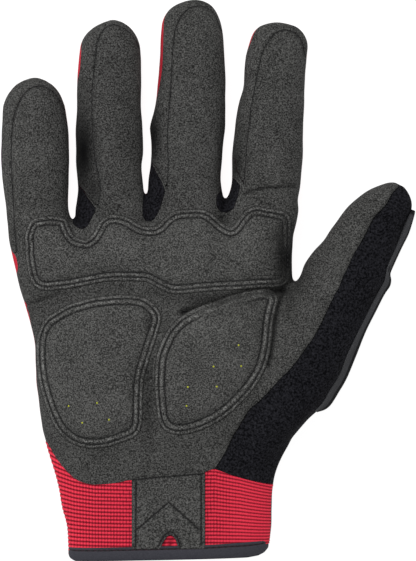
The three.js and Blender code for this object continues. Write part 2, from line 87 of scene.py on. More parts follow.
bpy.ops.mesh.primitive_plane_add(size=FLOOR_SIZE, location=(0, 0, 0))
floor = bpy.context.object
floor.name = "floor"
floor_paint = bpy.data.materials.new("floor_paint")
floor_paint.use_nodes = True
paint = floor_paint.node_tree.nodes["Principled BSDF"].inputs
paint["Base Color"].default_value = (0.12, 0.12, 0.12, 1)
paint["Roughness"].default_value = 0.9
paint["Emission Color"].default_value = (1, 1, 1, 1)
paint["Emission Strength"].default_value = FLOOR_GLOW
floor.data.materials.append(floor_paint)
for light in LIGHTS:
    area_light(*light)
world = bpy.data.worlds.new("studio")
world.use_nodes = True
world.node_tree.nodes["Background"].inputs["Color"].default_value = (1, 1, 1, 1)
world.node_tree.nodes["Background"].inputs["Strength"].default_value = WORLD_GLOW
bpy.context.scene.world = world
bpy.context.scene.view_settings.view_transform = "Standard"
camera = bpy.data.objects.new("camera", bpy.data.cameras.new("camera"))
camera.data.lens, camera.data.sensor_width, camera.data.sensor_fit = LENS_MM, SENSOR_MM, "AUTO"
camera.location = (*place(PICTURE_MIDDLE), LENS_UP + SEAM_Z)
camera.data.clip_end = 20
bpy.context.collection.objects.link(camera)
bpy.context.scene.camera = camera

# The glove's form: what its panels of cloth and suede are sewn to. The hand and cuff, the fingers and the
# thumb are tubes, squarer across the palm, blended where they meet. Each row is a section across the
# glove: its middle in pixels, its half width, its turn in degrees, and its depths in front and behind, in mm.
HAND_ROWS = [
    (151.3, 223, 64.5, 0, 11.2, 10.4), (151.1, 246, 63.6, 0, 13.6, 10.8),
    (155.2, 280, 61.8, 0, 15.4, 10.8), (162.1, 301, 62.2, 0, 16.2, 10.8), (167.4, 324, 61.6, 0, 16.6, 10.8),
    (170.4, 344, 61.0, 0, 16.9, 10.8), (172.0, 366, 61.2, 0, 17.0, 10.8), (172.3, 386, 61.0, 0, 17.0, 11.0),
    (171.6, 406, 59.4, 0, 17.0, 11.2), (170.0, 420, 57.6, 0, 16.7, 11.6), (168.0, 440, 55.2, 0, 16.0, 12.1),
    (165.4, 466, 50.6, 0, 15.1, 13.0), (166.0, 486, 48.2, 0, 14.6, 13.8), (167.1, 505, 47.2, 0, 14.4, 14.2),
    (169.3, 526, 45.8, 0, 14.4, 14.2), (168.6, 547, 44.9, 0, 14.4, 14.2), (168.0, 560, 44.2, 0, 14.4, 14.2),
]
FINGER_ROWS = {
    "little": [(41, 240, 13.0), (40.2, 223, 14.5), (37.5, 209, 14.0), (36, 187, 14.8), (35.2, 166, 15.2),
               (35.2, 140, 15.1), (34.4, 111, 14.2), (34, 102, 13.2), (34.2, 93, 11.3), (34, 85, 8.2),
               (34.2, 80.4, 4.9), (34.3, 77.6, 1.4)],
    "ring": [(112, 238, 15.0), (112.4, 215, 16.8), (111, 200, 15.5), (110.6, 186, 14.7), (108.6, 166, 14.6),
             (109.4, 150, 15.1), (109.2, 126, 15.0), (109, 106, 14.4), (109.6, 80, 14.4), (109.8, 53, 13.9),
             (110, 42, 12.9), (111, 33, 10.6), (112.2, 26.5, 7.6), (113, 22.4, 4.4), (113, 19.9, 1.2)],
    "middle": [(184, 232, 16.0), (185, 208, 18.3), (185.6, 198, 17.1), (184.6, 180, 16.1),
               (186.9, 160, 15.8), (187.7, 140, 16.4), (187.8, 126, 17.1), (190.4, 106, 16.0),
               (191.7, 80, 15.3), (192.3, 53, 14.6), (192.2, 33, 14.0), (191.4, 20, 12.8), (192, 10, 10.3),
               (193.4, 4.2, 7.2), (194, 1.4, 4.4), (194.2, -0.3, 1.4)],
    "index": [(259, 238, 15.0), (260.4, 212, 17.0), (262.4, 200, 16.0), (266.2, 184, 15.7),
              (267.2, 160, 15.8), (268.1, 140, 15.6), (269.7, 119, 15.4), (271.5, 103, 14.9),
              (273.9, 88, 13.9), (274.9, 72, 13.9), (276.4, 56, 13.8), (278.2, 46, 13.4), (278.4, 38, 12.3),
              (278.2, 31, 10.5), (278, 26, 7.8), (277.5, 23.7, 4.8), (277.4, 22.3, 1.6)],
}
# The thumb's sections run from its inner to its outer side, both in pixels, with the two depths.
THUMB_ROWS = [
    (222, 470, 272, 470, 11.0, 10.5), (222, 445, 284, 448, 14.4, 10.8), (228, 420, 306, 421, 16.4, 10.8),
    (240, 382, 325, 402.5, 16.6, 10.8), (262, 342, 341, 375, 15.8, 10.8), (284, 306, 357, 340, 14.4, 10.8),
    (290, 289, 364, 324, 13.6, 10.8), (300, 277, 370.8, 308.6, 13.2, 10.8),
    (304.6, 264, 379, 293, 12.9, 10.8), (313.2, 251.5, 386.5, 279, 12.5, 10.8),
    (323.8, 239.5, 392, 263.4, 12.1, 10.7), (334, 225, 397, 248, 11.8, 10.5),
    (348, 207, 402.6, 229.6, 11.2, 10.0), (364, 193, 410, 213.4, 9.8, 8.8),
    (379, 185.3, 411.5, 202.5, 7.6, 6.8), (388.5, 182.2, 408, 192.5, 5.2, 4.8),
    (394.5, 182.0, 404.5, 187.2, 3.2, 3.0),
]
FINGER_DEEP_MM = 10.6
TIP_FULL, TIP_CURVE = 1.12, 0.75
HAND_SIDES, FINGER_SIDES = 120, 60
HAND_SQUARE, FINGER_SQUARE = 2.6, 2.15
ROW_STEP = 0.0015
MM = 0.001
SKIN_VOXEL = 0.00094


def smooth_line(points, step=0.001, closed=False):
    """A smooth line through a few rows, with points about a step apart in their first two columns."""
    p = np.asarray(points, float)
    p = np.vstack([p[-1:], p, p[:2]]) if closed else np.vstack([2 * p[0] - p[1], p, 2 * p[-1] - p[-2]])
    line = []
    for a, b, c, d in zip(p, p[1:], p[2:], p[3:]):
        count = max(1, int(round(np.linalg.norm((c - b)[:2]) / step)))
        t = np.arange(count)[:, None] / count
        curve = (2 * a - 5 * b + 4 * c - d) * t**2
        line.append(0.5 * (2 * b + (c - a) * t + curve + (3 * b - a - 3 * c + d) * t**3))
    if not closed:
        line.append(p[-2][None])
    return np.vstack(line)


def new_mesh(name, points, faces):
    mesh = bpy.data.meshes.new(name)
    mesh.from_pydata([tuple(v) for v in points], [], [tuple(f) for f in faces])
    mesh.update()
    piece = bpy.data.objects.new(name, mesh)
    bpy.context.collection.objects.link(piece)
    return piece


def loop_faces(rings, sides, offset=0):
    """The quads of a tube whose rings have that many points, facing out."""
    faces = []
    for r in range(rings - 1):
        for i in range(sides):
            a, b = offset + r * sides + i, offset + r * sides + (i + 1) % sides
            faces.append((a, a + sides, b + sides, b))
    return faces


def squared(wave, squareness=HAND_SQUARE):
    """A cosine or sine of a round section made one of a squarer section."""
    return np.sign(wave) * np.abs(wave) ** (2 / squareness)


def section_rings(rows, sides, squareness):
    """Rings of points for rows of (x, y, half, turn, front, back), all in metres and radians."""
    angle = np.linspace(0, 2 * math.pi, sides, endpoint=False)
    reach = squared(np.cos(angle), squareness)
    rise = squared(np.sin(angle), squareness)
    rings = []
    for x, y, half, turn, front, back in rows:
        depth = np.where(rise > 0, front, back) * rise
        along = half * reach
        rings.append(np.stack([x + math.cos(turn) * along, y - math.sin(turn) * along, SEAM_Z + depth], -1))
    return rings


def tube(name, rows, sides, squareness):
    """A closed tube through its sections."""
    rings = section_rings(rows, sides, squareness)
    points = np.vstack(rings + [rings[0].mean(0)[None], rings[-1].mean(0)[None]])
    faces = loop_faces(len(rings), sides)
    first, last, top = len(points) - 2, len(points) - 1, (len(rings) - 1) * sides
    for i in range(sides):
        j = (i + 1) % sides
        faces += [(first, i, j), (last, top + j, top + i)]
    return new_mesh(name, points, faces)


def metric(rows):
    """Rows in pixels, millimetres and degrees as rows in metres and radians."""
    r = np.asarray(rows, float)
    return np.column_stack([place(r[:, :2]), r[:, 2] * MM, np.radians(r[:, 3]), r[:, 4:] * MM])


hand_rows = smooth_line(metric(HAND_ROWS), ROW_STEP)
tubes = [tube("hand", hand_rows, HAND_SIDES, HAND_SQUARE)]
for finger, rows in FINGER_ROWS.items():
    full = max(row[2] for row in rows)
    depths = [FINGER_DEEP_MM * min(1, half / full * TIP_FULL) ** TIP_CURVE for _, _, half in rows]
    sections = [(*row, 0, deep, deep) for row, deep in zip(rows, depths)]
    tubes.append(tube(finger, smooth_line(metric(sections), ROW_STEP), FINGER_SIDES, FINGER_SQUARE))
thumb_sections = []
for x0, y0, x1, y1, front, back in THUMB_ROWS:
    wide = math.hypot(x1 - x0, y1 - y0)
    turn = math.degrees(math.atan2(y1 - y0, x1 - x0))
    thumb_sections.append(((x0 + x1) / 2, (y0 + y1) / 2, wide / 2 * PIXEL / MM, turn, front, back))
tubes.append(tube("thumb", smooth_line(metric(thumb_sections), ROW_STEP), FINGER_SIDES, FINGER_SQUARE))


def choose(*pieces):
    """Selects these pieces alone, the first one active."""
    bpy.ops.object.select_all(action="DESELECT")
    for piece in pieces:
        piece.select_set(True)
    bpy.context.view_layer.objects.active = pieces[0]


def smooth(piece, degrees):
    """Shades a piece smooth up to that angle between its faces."""
    choose(piece)
    bpy.ops.object.shade_smooth_by_angle(angle=math.radians(degrees))


def joined(pieces, name):
    """Pieces joined into one under a name."""
    choose(*pieces)
    bpy.ops.object.join()
    pieces[0].name = name
    return pieces[0]


def apply_modifier(piece, kind, **values):
    choose(piece)
    modifier = piece.modifiers.new(kind.lower(), kind)
    for key, value in values.items():
        setattr(modifier, key, value)
    bpy.ops.object.modifier_apply(modifier=modifier.name)


form = joined(tubes, "form")
apply_modifier(form, "REMESH", mode="VOXEL", voxel_size=SKIN_VOXEL)
apply_modifier(form, "SMOOTH", factor=0.5, iterations=5)


def read_mesh(mesh):
    """A mesh's points, triangles and normals as arrays."""
    mesh.calc_loop_triangles()
    points = np.zeros(len(mesh.vertices) * 3)
    normals = np.zeros(len(mesh.vertices) * 3)
    triangles = np.zeros(len(mesh.loop_triangles) * 3, np.int32)
    mesh.vertices.foreach_get("co", points)
    mesh.vertices.foreach_get("normal", normals)
    mesh.loop_triangles.foreach_get("vertices", triangles)
    return points.reshape(-1, 3), triangles.reshape(-1, 3), normals.reshape(-1, 3)


def distance_to(points, line, closed=False, reach=0.006):
    """How far each point is from a line in plan, up to a reach that is far enough to matter."""
    ends = np.vstack([line, line[:1]]) if closed else line
    low, high = ends.min(0) - reach, ends.max(0) + reach
    near = np.flatnonzero(((points[:, :2] > low) & (points[:, :2] < high)).all(1))
    far = np.full(len(points), reach)
    p = points[near, :2]
    best = np.full(len(p), reach)
    for a, b in zip(ends, ends[1:]):
        d = b - a
        t = np.clip(((p - a) @ d) / max(d @ d, 1e-12), 0, 1)
        best = np.minimum(best, np.hypot(*(p - a - t[:, None] * d).T))
    far[near] = best
    return far


def within(points, outline):
    """Whether each point is inside a closed outline in plan."""
    x, y = points[:, 0], points[:, 1]
    inside = np.zeros(len(points), bool)
    for (xa, ya), (xb, yb) in zip(outline, np.roll(outline, -1, 0)):
        if ya != yb:
            crosses = (ya > y) != (yb > y)
            inside ^= crosses & (x < (xb - xa) * (y - ya) / (yb - ya) + xa)
    return inside


def signed_distance(points, outline, reach=0.006):
    """Distance inside a closed outline, negative outside it."""
    away = distance_to(points, outline, True, reach)
    return np.where(within(points, outline), away, -away)


# Seams, folds and wrinkles of the sewn glove. A seam pulls its two edges down into a shallow groove, and
# the palm folds where the fingers and the thumb bend. Lines are in pixels. Each fold has its depth and its
# width in mm and how dark the painted shade in it is. The seams and folds paint shade into the cloth's colour
# down in their grooves. The seam of palm and thumb lies down in one of the folds.
PALM_THUMB_SEAM = [(296, 279), (287, 289), (282, 299), (278.5, 309), (275.6, 322), (273.5, 336),
                   (271.4, 350), (268.4, 363), (264, 375), (259, 386), (256.8, 395), (258.4, 402)]
THUMB_COLOUR_SEAM = [(401, 178), (400, 186), (396.9, 188.7), (391.3, 196), (385.6, 206), (375.4, 216),
                     (371.8, 222), (365.6, 234.5), (359.6, 245), (354.2, 254), (349.2, 265), (342.2, 279),
                     (339.8, 286.5), (333, 298.5), (323.6, 318.5), (314, 337), (306.2, 347.7), (292.9, 366),
                     (279.6, 379.5), (266.4, 394), (258.4, 402), (250, 409), (243.5, 419), (237.5, 429),
                     (233, 436), (225, 453), (214.6, 469.3)]
HEM_SEAM = [(30, 436), (45.8, 445), (53, 456), (62.4, 468), (73, 478.4), (82.2, 483), (92.9, 485),
            (106, 484.3), (119.4, 482.4), (130.8, 480), (135.3, 480.3), (155.7, 477), (174.2, 475.8),
            (200.4, 473.3), (208, 471), (216, 469.7), (234.5, 476.4), (258.4, 483), (273, 485.7),
            (290, 488)]
SIDE_SEAMS = {
    "little": [(16, 252), (13.9, 236), (12.6, 206), (10.6, 173), (10.3, 153), (10.6, 140), (11.3, 126),
               (13.9, 113), (18.6, 101), (23.9, 93), (30.5, 87), (38.5, 85), (45, 86), (53, 91.5),
               (59.7, 101), (65, 114), (68.3, 129), (73, 138)],
    "ring": [(97.5, 206.3), (100.2, 190), (98.8, 177), (94.9, 160), (92.9, 140), (91.5, 119), (91.5, 93),
             (92.9, 74), (94.9, 56), (96.8, 42.5), (100.8, 32), (106, 25.5), (112.8, 23), (119.4, 24.6),
             (127.4, 29.5), (134, 37), (139.5, 47), (146, 54)],
    "middle": [(166.5, 190), (168.2, 166), (167.2, 140), (168.2, 119), (170, 93), (171.6, 66),
               (173.8, 34.5), (176.4, 25), (181.7, 14.6), (189.7, 6.6), (200, 4.6), (208, 6.8),
               (214.6, 12.5), (221, 27), (228, 36)],
    "index": [(243.8, 184), (246.5, 153), (247.5, 140), (249.8, 119), (251.8, 103.5), (254.4, 90),
              (256.4, 80), (258.4, 69), (261, 58), (263.7, 49), (269, 40), (274.3, 33), (280, 29.8),
              (287.6, 28.5), (295.6, 32), (302, 38.5), (306.2, 53), (313, 62)],
}
SIDE_OUTSIDES = {
    "little": [(73, 120), (66, 84), (48, 66), (20, 66), (-2, 90), (-8, 140), (-8, 200), (0, 256)],
    "ring": [(146, 40), (130, 12), (100, 12), (74, 40), (71, 90), (71.5, 140), (72.5, 166), (74.5, 184),
             (79.6, 186), (87.6, 194.4), (92.9, 201.7)],
    "middle": [(230, 20), (214, -8), (174, -8), (155, 14), (150.5, 80), (146.5, 112), (146, 140),
               (148.5, 160), (153.2, 164), (157.9, 169), (163.2, 180)],
    "index": [(313, 40), (300, 12), (262, 12), (244, 30), (236, 80), (231, 103), (228.5, 126), (229, 156),
              (235.2, 160), (236.5, 170.5), (241.2, 180)],
}
WEBS = {
    "little_ring": [(74, 186), (78.4, 186.5), (83.9, 190.7), (88, 198), (93.7, 205.4), (96.5, 209.6),
                    (94.4, 214.5), (90.9, 221.6), (88, 227), (83.9, 229.3), (78.9, 228), (74, 224.4),
                    (71.5, 216)],
    "ring_middle": [(146, 160), (151.9, 163.5), (154.7, 170), (158.2, 176), (161.7, 182), (165.2, 192),
                    (162.4, 202), (158.9, 212), (154.7, 219), (150.5, 221.6), (146.3, 221), (143.5, 217),
                    (142.8, 210), (143.5, 200)],
    "middle_index": [(229, 178), (234.5, 179.5), (239.8, 186), (237.8, 197), (233.2, 209), (226.7, 213),
                     (220.3, 211.8), (216.5, 206), (216.2, 198), (221, 190)],
}
FOLDS = [
    ([(243.8, 193.5), (254, 190), (268, 187.6), (282, 186.6), (297, 186)], 0.9, 0.85, 0.75),
    ([(234, 147), (243, 150.6), (254, 151), (266, 152.6)], 0.35, 1.1, 0.22),
    ([(239, 164), (247, 160), (256, 162)], 0.3, 1.1, 0.2),
    ([(287, 226), (288, 250), (288.5, 284)], 1.2, 2.4, 0.5),
    ([(182, 312.4), (196, 309.4), (208, 305.6), (221, 301), (234.8, 296), (249, 292.4), (262, 290),
      (274, 290), (288, 288)], 2.6, 1.7, 0.95),
    ([(22, 304.6), (32, 303), (42, 299.4), (56, 296)], 0.9, 1.2, 0.5),
    ([(30, 312), (60, 300), (90, 293), (140, 291), (176, 300)], 0.8, 3.5, 0.16),
    ([(148, 372), (149.5, 400), (150, 430)], 1.5, 3.0, 0.3),
    ([(40, 452), (100, 458), (160, 452), (214, 448)], 0.5, 4.5, 0.0),
    ([(290, 287), (282, 299), (277, 316), (274, 334), (271.6, 350), (268, 365)], 1.3, 1.5, 0.8),
    ([(163, 205), (168, 192), (176, 184), (188, 178)], 0.4, 1.8, 0.14),
    ([(86, 214), (96, 204), (104, 198), (114, 196)], 0.35, 1.8, 0.12),
    ([(18, 200), (30, 206), (46, 206), (58, 202)], 0.4, 2.2, 0.12),
    ([(312, 262), (326, 270), (342, 274)], 0.4, 2.4, 0.1),
    ([(286, 318), (300, 326), (316, 324)], 0.5, 2.6, 0.1),
]
SEAM_DEPTH, SEAM_WIDTH = 0.5, 0.75
# How dark the painted shade down in a seam's groove is, and its width in metres.
SEAM_SHADE, SEAM_SHADE_WIDTH = 0.62, 0.00045
SEAM_GAP = 0.00011
# Grooves and dents start this far over the seams. The cloth puffs in these waves: scale and height in mm.
FRONT_STARTS = 0.002
PUFFS = [(55, 0.4), (140, 0.16)]
skin, skin_triangles, skin_normals = read_mesh(form.data)
front = np.clip((skin[:, 2] - SEAM_Z) / FRONT_STARTS, 0, 1)
sink = np.zeros(len(skin))
shade = np.zeros(len(skin))
uneven = np.clip(0.6 + 1.3 * np.array([noise.noise(Vector(p) * 45) for p in skin]), 0.12, 1)
for line in [THUMB_COLOUR_SEAM] + list(SIDE_SEAMS.values()):
    far = distance_to(skin, smooth_line(facing(line)), reach=0.005)
    groove = np.exp(-((far / (SEAM_WIDTH * MM)) ** 2)) * front
    sink += SEAM_DEPTH * MM * groove
    shade = np.maximum(shade, SEAM_SHADE * uneven * np.exp(-((far / SEAM_SHADE_WIDTH) ** 2)) * front)
for points, depth, width, dark in FOLDS:
    far = distance_to(skin, smooth_line(facing(points)), reach=0.02)
    dent = np.exp(-((far / (width * MM)) ** 2)) * front
    sink += depth * MM * dent
    shade = np.maximum(shade, dark * dent**2)
puff = MM * np.array([sum(noise.noise(Vector(p) * scale) * high for scale, high in PUFFS) for p in skin])
skin = skin + skin_normals * (puff - sink)[:, None]
form.data.vertices.foreach_set("co", skin.ravel())
form.data.update()
skin, skin_triangles, skin_normals = read_mesh(form.data)


def tree_of(points, faces):
    """A mesh to cast rays on."""
    return BVHTree.FromPolygons([tuple(p) for p in points], [tuple(f) for f in faces])


skin_tree = tree_of(skin, skin_triangles)


# Grey suede: a napped synthetic suede, heathered from light and dark fibres, used for the palm, the thumb
# and the pads. The black suede of the outer thumb and the webs is the same cloth dyed black.
def effect_group(name, inputs, outputs):
    """An empty shader node group with named sockets, and its input and output nodes."""
    group = bpy.data.node_groups.new(name, "ShaderNodeTree")
    for side, sockets in (("INPUT", inputs), ("OUTPUT", outputs)):
        for socket, kind in sockets:
            group.interface.new_socket(socket, in_out=side, socket_type=f"NodeSocket{kind}")
    return group, group.nodes.new("NodeGroupInput").outputs, group.nodes.new("NodeGroupOutput").inputs


def node_in(tree, kind, inputs=None, **values):
    """A node of a kind, with its settings, and its inputs set to numbers or linked to other nodes."""
    node = tree.nodes.new(f"ShaderNode{kind}")
    for key, value in values.items():
        setattr(node, key, value)
    for key, value in (inputs or {}).items():
        if isinstance(value, bpy.types.NodeSocket):
            tree.links.new(value, node.inputs[key])
        else:
            node.inputs[key].default_value = value
    return node


def blend(tree, factor, first, second):
    """The colour that lies between two colours. In a Mix node they are inputs 6 and 7 and output 2."""
    mix = node_in(tree, "Mix", {"Factor": factor, 6: first, 7: second}, data_type="RGBA")
    return mix.outputs[2]


def attribute(tree, name):
    """The value that a piece stores under a name at each of its points."""
    return node_in(tree, "Attribute", attribute_name=name).outputs["Fac"]


CLOTH_SOCKETS = [("Dark", "Color"), ("Light", "Color"), ("Scale", "Float")]
# The light fibre that worn ridges are lifted to, partly wear and partly a painted highlight, and the near black
# of painted shade.
WORN_AND_HIGHLIT_FIBRE = (0.26, 0.26, 0.25, 1)
PAINTED_SHADE_BLACK = (0.0016, 0.0016, 0.0018, 1)


def nap_effect():
    """Suede's heather of fibres, with painted shade in seams and folds and a painted highlight on worn ridges.
    """
    group, given, out = effect_group("suede_nap", CLOTH_SOCKETS, [("Color", "Color"), ("Height", "Float")])
    where = node_in(group, "TexCoord").outputs["Object"]
    fine = node_in(group, "Math", {0: given["Scale"], 1: 2.3}, operation="MULTIPLY").outputs[0]
    tufts = node_in(group, "TexNoise", {"Vector": where, "Scale": given["Scale"], "Detail": 1,
                                        "Roughness": 0.5})
    hairs = node_in(group, "TexNoise", {"Vector": where, "Scale": fine, "Detail": 2, "Distortion": 1.5})
    brushed = node_in(group, "TexNoise", {"Vector": where, "Scale": 60, "Detail": 5, "Roughness": 0.6})
    both = node_in(group, "Mix", {"Factor": 0.35, "A": tufts.outputs["Fac"], "B": hairs.outputs["Fac"]})
    patchy = node_in(group, "Mix", {"Factor": 0.12, "A": both.outputs["Result"], "B": brushed.outputs["Fac"]})
    spread = node_in(group, "MapRange", {"Value": patchy.outputs["Result"], "From Min": 0.41, "From Max": 0.70})
    heather = spread.outputs["Result"]
    cloth = blend(group, heather, given["Dark"], given["Light"])
    # Worn ridges get a painted highlight toward the light fibre, and the shade value paints shade toward near
    # black.
    flecks = node_in(group, "Math", {0: attribute(group, "worn_and_highlit"), 1: heather}, operation="MULTIPLY")
    lifted = blend(group, flecks.outputs[0], cloth, WORN_AND_HIGHLIT_FIBRE)
    group.links.new(blend(group, attribute(group, "shade"), lifted, PAINTED_SHADE_BLACK), out["Color"])
    group.links.new(both.outputs["Result"], out["Height"])
    return group


def finish_of(name, effect, dark, light, scale, roughness, relief):
    """A cloth or rubber in two tones, whose colour and surface come from one effect group."""
    material = bpy.data.materials.new(name)
    material.use_nodes = True
    tree = material.node_tree
    surface = node_in(tree, "Group", node_tree=effect)
    surface.inputs["Dark"].default_value = (*dark, 1)
    surface.inputs["Light"].default_value = (*light, 1)
    surface.inputs["Scale"].default_value = scale
    shader = tree.nodes["Principled BSDF"].inputs
    shader["Roughness"].default_value = roughness
    shader["Specular IOR Level"].default_value = 0.08 if roughness > 0.7 else 0.3
    tree.links.new(surface.outputs["Color"], shader["Base Color"])
    bump = node_in(tree, "Bump", {"Strength": 0.6, "Distance": relief, "Height": surface.outputs["Height"]})
    tree.links.new(bump.outputs["Normal"], shader["Normal"])
    return material


suede_nap = nap_effect()
grey_suede = finish_of("grey_suede", suede_nap, (0.0115, 0.0115, 0.0110), (0.115, 0.115, 0.111),
                       1600, 0.95, 0.0005)
pad_suede = finish_of("pad_suede", suede_nap, (0.015, 0.015, 0.0144), (0.136, 0.136, 0.131),
                      1600, 0.95, 0.0005)
black_suede = finish_of("black_suede", suede_nap, (0.0004, 0.0004, 0.0010), (0.0205, 0.0205, 0.025),
                        1100, 0.95, 0.0004)


# The knitted cloths: the fine red stretch of the back, the slate cloth of the wrist's back and the binding,
# and the dark lining that shows inside the wrist. The lining's dark colour also paints the shade down in the
# seam gaps between the panels.
# The dark red that painted shade in seams, folds and grooves darkens the knit toward.
PAINTED_SHADE_RED = (0.02, 0.002, 0.003, 1)


def knit_effect():
    """Fine knit cloth: rows of small loops in two tones, with a little unevenness and painted shade."""
    group, given, out = effect_group("knit_loops", CLOTH_SOCKETS, [("Color", "Color"), ("Height", "Float")])
    where = node_in(group, "TexCoord").outputs["Object"]
    waves = {"Vector": where, "Scale": given["Scale"], "Distortion": 1.2, "Detail": 1, "Detail Scale": 2}
    rows = node_in(group, "TexWave", waves, bands_direction="Y")
    wales = node_in(group, "TexWave", waves, bands_direction="X")
    yarn = node_in(group, "TexNoise", {"Vector": where, "Scale": 1700, "Detail": 3})
    loops = node_in(group, "Math", {0: rows.outputs["Fac"], 1: wales.outputs["Fac"]}, operation="MULTIPLY")
    uneven = node_in(group, "Mix", {"Factor": 0.5, "A": loops.outputs[0], "B": yarn.outputs["Fac"]})
    cloth = blend(group, uneven.outputs["Result"], given["Dark"], given["Light"])
    group.links.new(blend(group, attribute(group, "shade"), cloth, PAINTED_SHADE_RED), out["Color"])
    group.links.new(uneven.outputs["Result"], out["Height"])
    return group


knit_loops = knit_effect()
red_stretch = finish_of("red_stretch", knit_loops, (0.26, 0.004, 0.012), (0.66, 0.028, 0.055),
                        500, 0.75, 0.0002)
slate_cloth = finish_of("slate_cloth", knit_loops, (0.015, 0.015, 0.020), (0.072, 0.072, 0.085),
                        620, 0.8, 0.0002)
inner_face = finish_of("inner_face", knit_loops, (0.004, 0.004, 0.005), (0.014, 0.014, 0.016),
                       560, 0.9, 0.0002)


# The sewn panels. Each is cut from the glove's form along its seams, with its own thickness turned inward.
PANEL_THICKNESS = 0.0012
CUT_MARGIN = 0.03


def trim(points, triangles, field):
    """The part of a mesh where a field over its points is positive, cut along the field's zero line."""
    inside = field > 0
    corners = inside[triangles]
    count = corners.sum(1)
    kept = [triangles[count == 3]]
    total = len(points)
    fresh = [points]
    for lone_inside, number in ((True, 1), (False, 2)):
        cut = triangles[count == number]
        if not len(cut):
            continue
        lone = np.argmax(corners[count == number] == lone_inside, axis=1)
        row = np.arange(len(cut))
        a, b, c = cut[row, lone], cut[row, (lone + 1) % 3], cut[row, (lone + 2) % 3]
        middles = [np.sort(np.stack([a, other], 1), axis=1) for other in (b, c)]
        pairs, index = np.unique(np.vstack(middles), axis=0, return_inverse=True)
        index = index.reshape(-1)
        share = field[pairs[:, 0]] / (field[pairs[:, 0]] - field[pairs[:, 1]])
        t = np.clip(share, CUT_MARGIN, 1 - CUT_MARGIN)[:, None]
        fresh.append(points[pairs[:, 0]] * (1 - t) + points[pairs[:, 1]] * t)
        ab, ac = index[: len(cut)] + total, index[len(cut):] + total
        total += len(pairs)
        if lone_inside:
            kept.append(np.stack([a, ab, ac], 1))
        else:
            kept += [np.stack([b, c, ac], 1), np.stack([b, ac, ab], 1)]
    points, triangles = np.vstack(fresh), np.vstack(kept)
    used, triangles = np.unique(triangles, return_inverse=True)
    triangles = triangles.reshape(-1, 3)
    points = points[used]
    # Both sides of a seam cut the same edges, so equal points along it are made one.
    _, first, back = np.unique(np.round(points[:, :3], 9), axis=0, return_index=True, return_inverse=True)
    triangles = back.reshape(-1)[triangles]
    whole = (triangles != np.roll(triangles, -1, axis=1)).all(1)
    return points[first], triangles[whole]


def largest_part(points, triangles):
    """The main connected part of a mesh, without the offcuts."""
    label = np.arange(len(points))
    while True:
        low = label[triangles].min(1)
        new = label.copy()
        for k in range(3):
            np.minimum.at(new, triangles[:, k], low)
        new = new[new]
        if (new == label).all():
            break
        label = new
    names, sizes = np.unique(label[triangles[:, 0]], return_counts=True)
    keep = label[triangles[:, 0]] == names[sizes.argmax()]
    used, kept = np.unique(triangles[keep], return_inverse=True)
    return points[used], kept.reshape(-1, 3)


def dress(piece, material, nodes=()):
    """Gives a piece its material, hangs it under the root body and hides the model's parts it stands for."""
    if not piece.data.materials:
        piece.data.materials.append(material)
    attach(piece, "root")
    if nodes:
        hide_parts(*nodes)


def open_edges(triangles):
    """The boundary edges of a patch, each as it runs in its own triangle."""
    edges = np.vstack([triangles[:, [0, 1]], triangles[:, [1, 2]], triangles[:, [2, 0]]])
    seen = {tuple(edge) for edge in edges}
    return [edge for edge in seen if (edge[1], edge[0]) not in seen]


def mark_surface(piece, name, values):
    """Stores one value for each point: painted shade in a seam or fold, or a worn ridge's painted highlight."""
    mark = piece.data.attributes.new(name, "FLOAT", "POINT")
    mark.data.foreach_set("value", np.asarray(values, np.float32))


def panel(name, points, triangles, material, slot, flat, area):
    """A sewn panel: its outer face, its lining side and its cut edge, from points with shade and normals."""
    points, triangles = largest_part(points, triangles)
    outward = points[:, 4:7] / np.linalg.norm(points[:, 4:7], axis=1)[:, None]
    faces = [tuple(t) for t in triangles] + [tuple(t[::-1] + len(points)) for t in triangles]
    faces += [(b, a, a + len(points), b + len(points)) for a, b in open_edges(triangles)]
    inside = points[:, :3] - outward * PANEL_THICKNESS
    piece = new_mesh(f"{name}_cloth", np.vstack([points[:, :3], inside]), faces)
    mark_surface(piece, "shade", np.concatenate([points[:, 3]] * 2))
    piece.data.materials.append(material)
    # The dark lining on the inner side and cut edge also paints the shade down in the seam gaps.
    piece.data.materials.append(inner_face)
    lining = [0] * len(triangles) + [1] * (len(faces) - len(triangles))
    piece.data.polygons.foreach_set("material_index", lining)
    smooth(piece, 50)
    dress(piece, material, [name])


# Where the red back wraps forward over the side: middle and reach in pixels, and the rise in mm.
BACK_SHOWS = [(77, 62, 12, 20, 4.6), (157, 52, 12, 44, 5.4), (250, 36, 10, 14, 2.8), (15, 262, 16, 12, 5.2),
              (33, 360, 12, 85, 2.2), (226, 90, 7, 75, -1.6),
              (142, 90, 7, 70, -1.2), (271, 512, 7, 34, 3.2)]
# Soft shade where a strip is folded under or two fingers lean together: middle, reach and strength.
SHADED = [(84, 153, 13, 47, 1.0), (93, 188, 8, 18, 0.7), (153, 136, 9, 28, 0.9), (156, 172, 9, 12, 0.35),
          (225, 158, 9, 50, 0.6), (236, 164, 7, 18, 0.65), (241, 145, 7, 26, 0.35), (159, 55, 5, 38, 0.35),
          (287, 260, 15, 30, 0.92), (276, 291, 13, 6, 0.8), (149, 405, 5, 40, 0.3), (212, 299, 42, 7, 0.5),
          (150, 292, 20, 4, 0.25), (54, 292, 30, 5, 0.25), (110, 112, 34, 60, 0.1), (148, 318, 5, 16, 0.3)]
# It fades out this far under the level of the seams.
SHADE_STARTS = 0.004


def soft_shade(points):
    """How dark the folds and leaning fingers make the cloth at each point."""
    x, y = pixels(points)
    return np.max([dark * np.exp(-(((x - a) / wide) ** 2) - ((y - b) / tall) ** 2)
                   for a, b, wide, tall, dark in SHADED], axis=0)


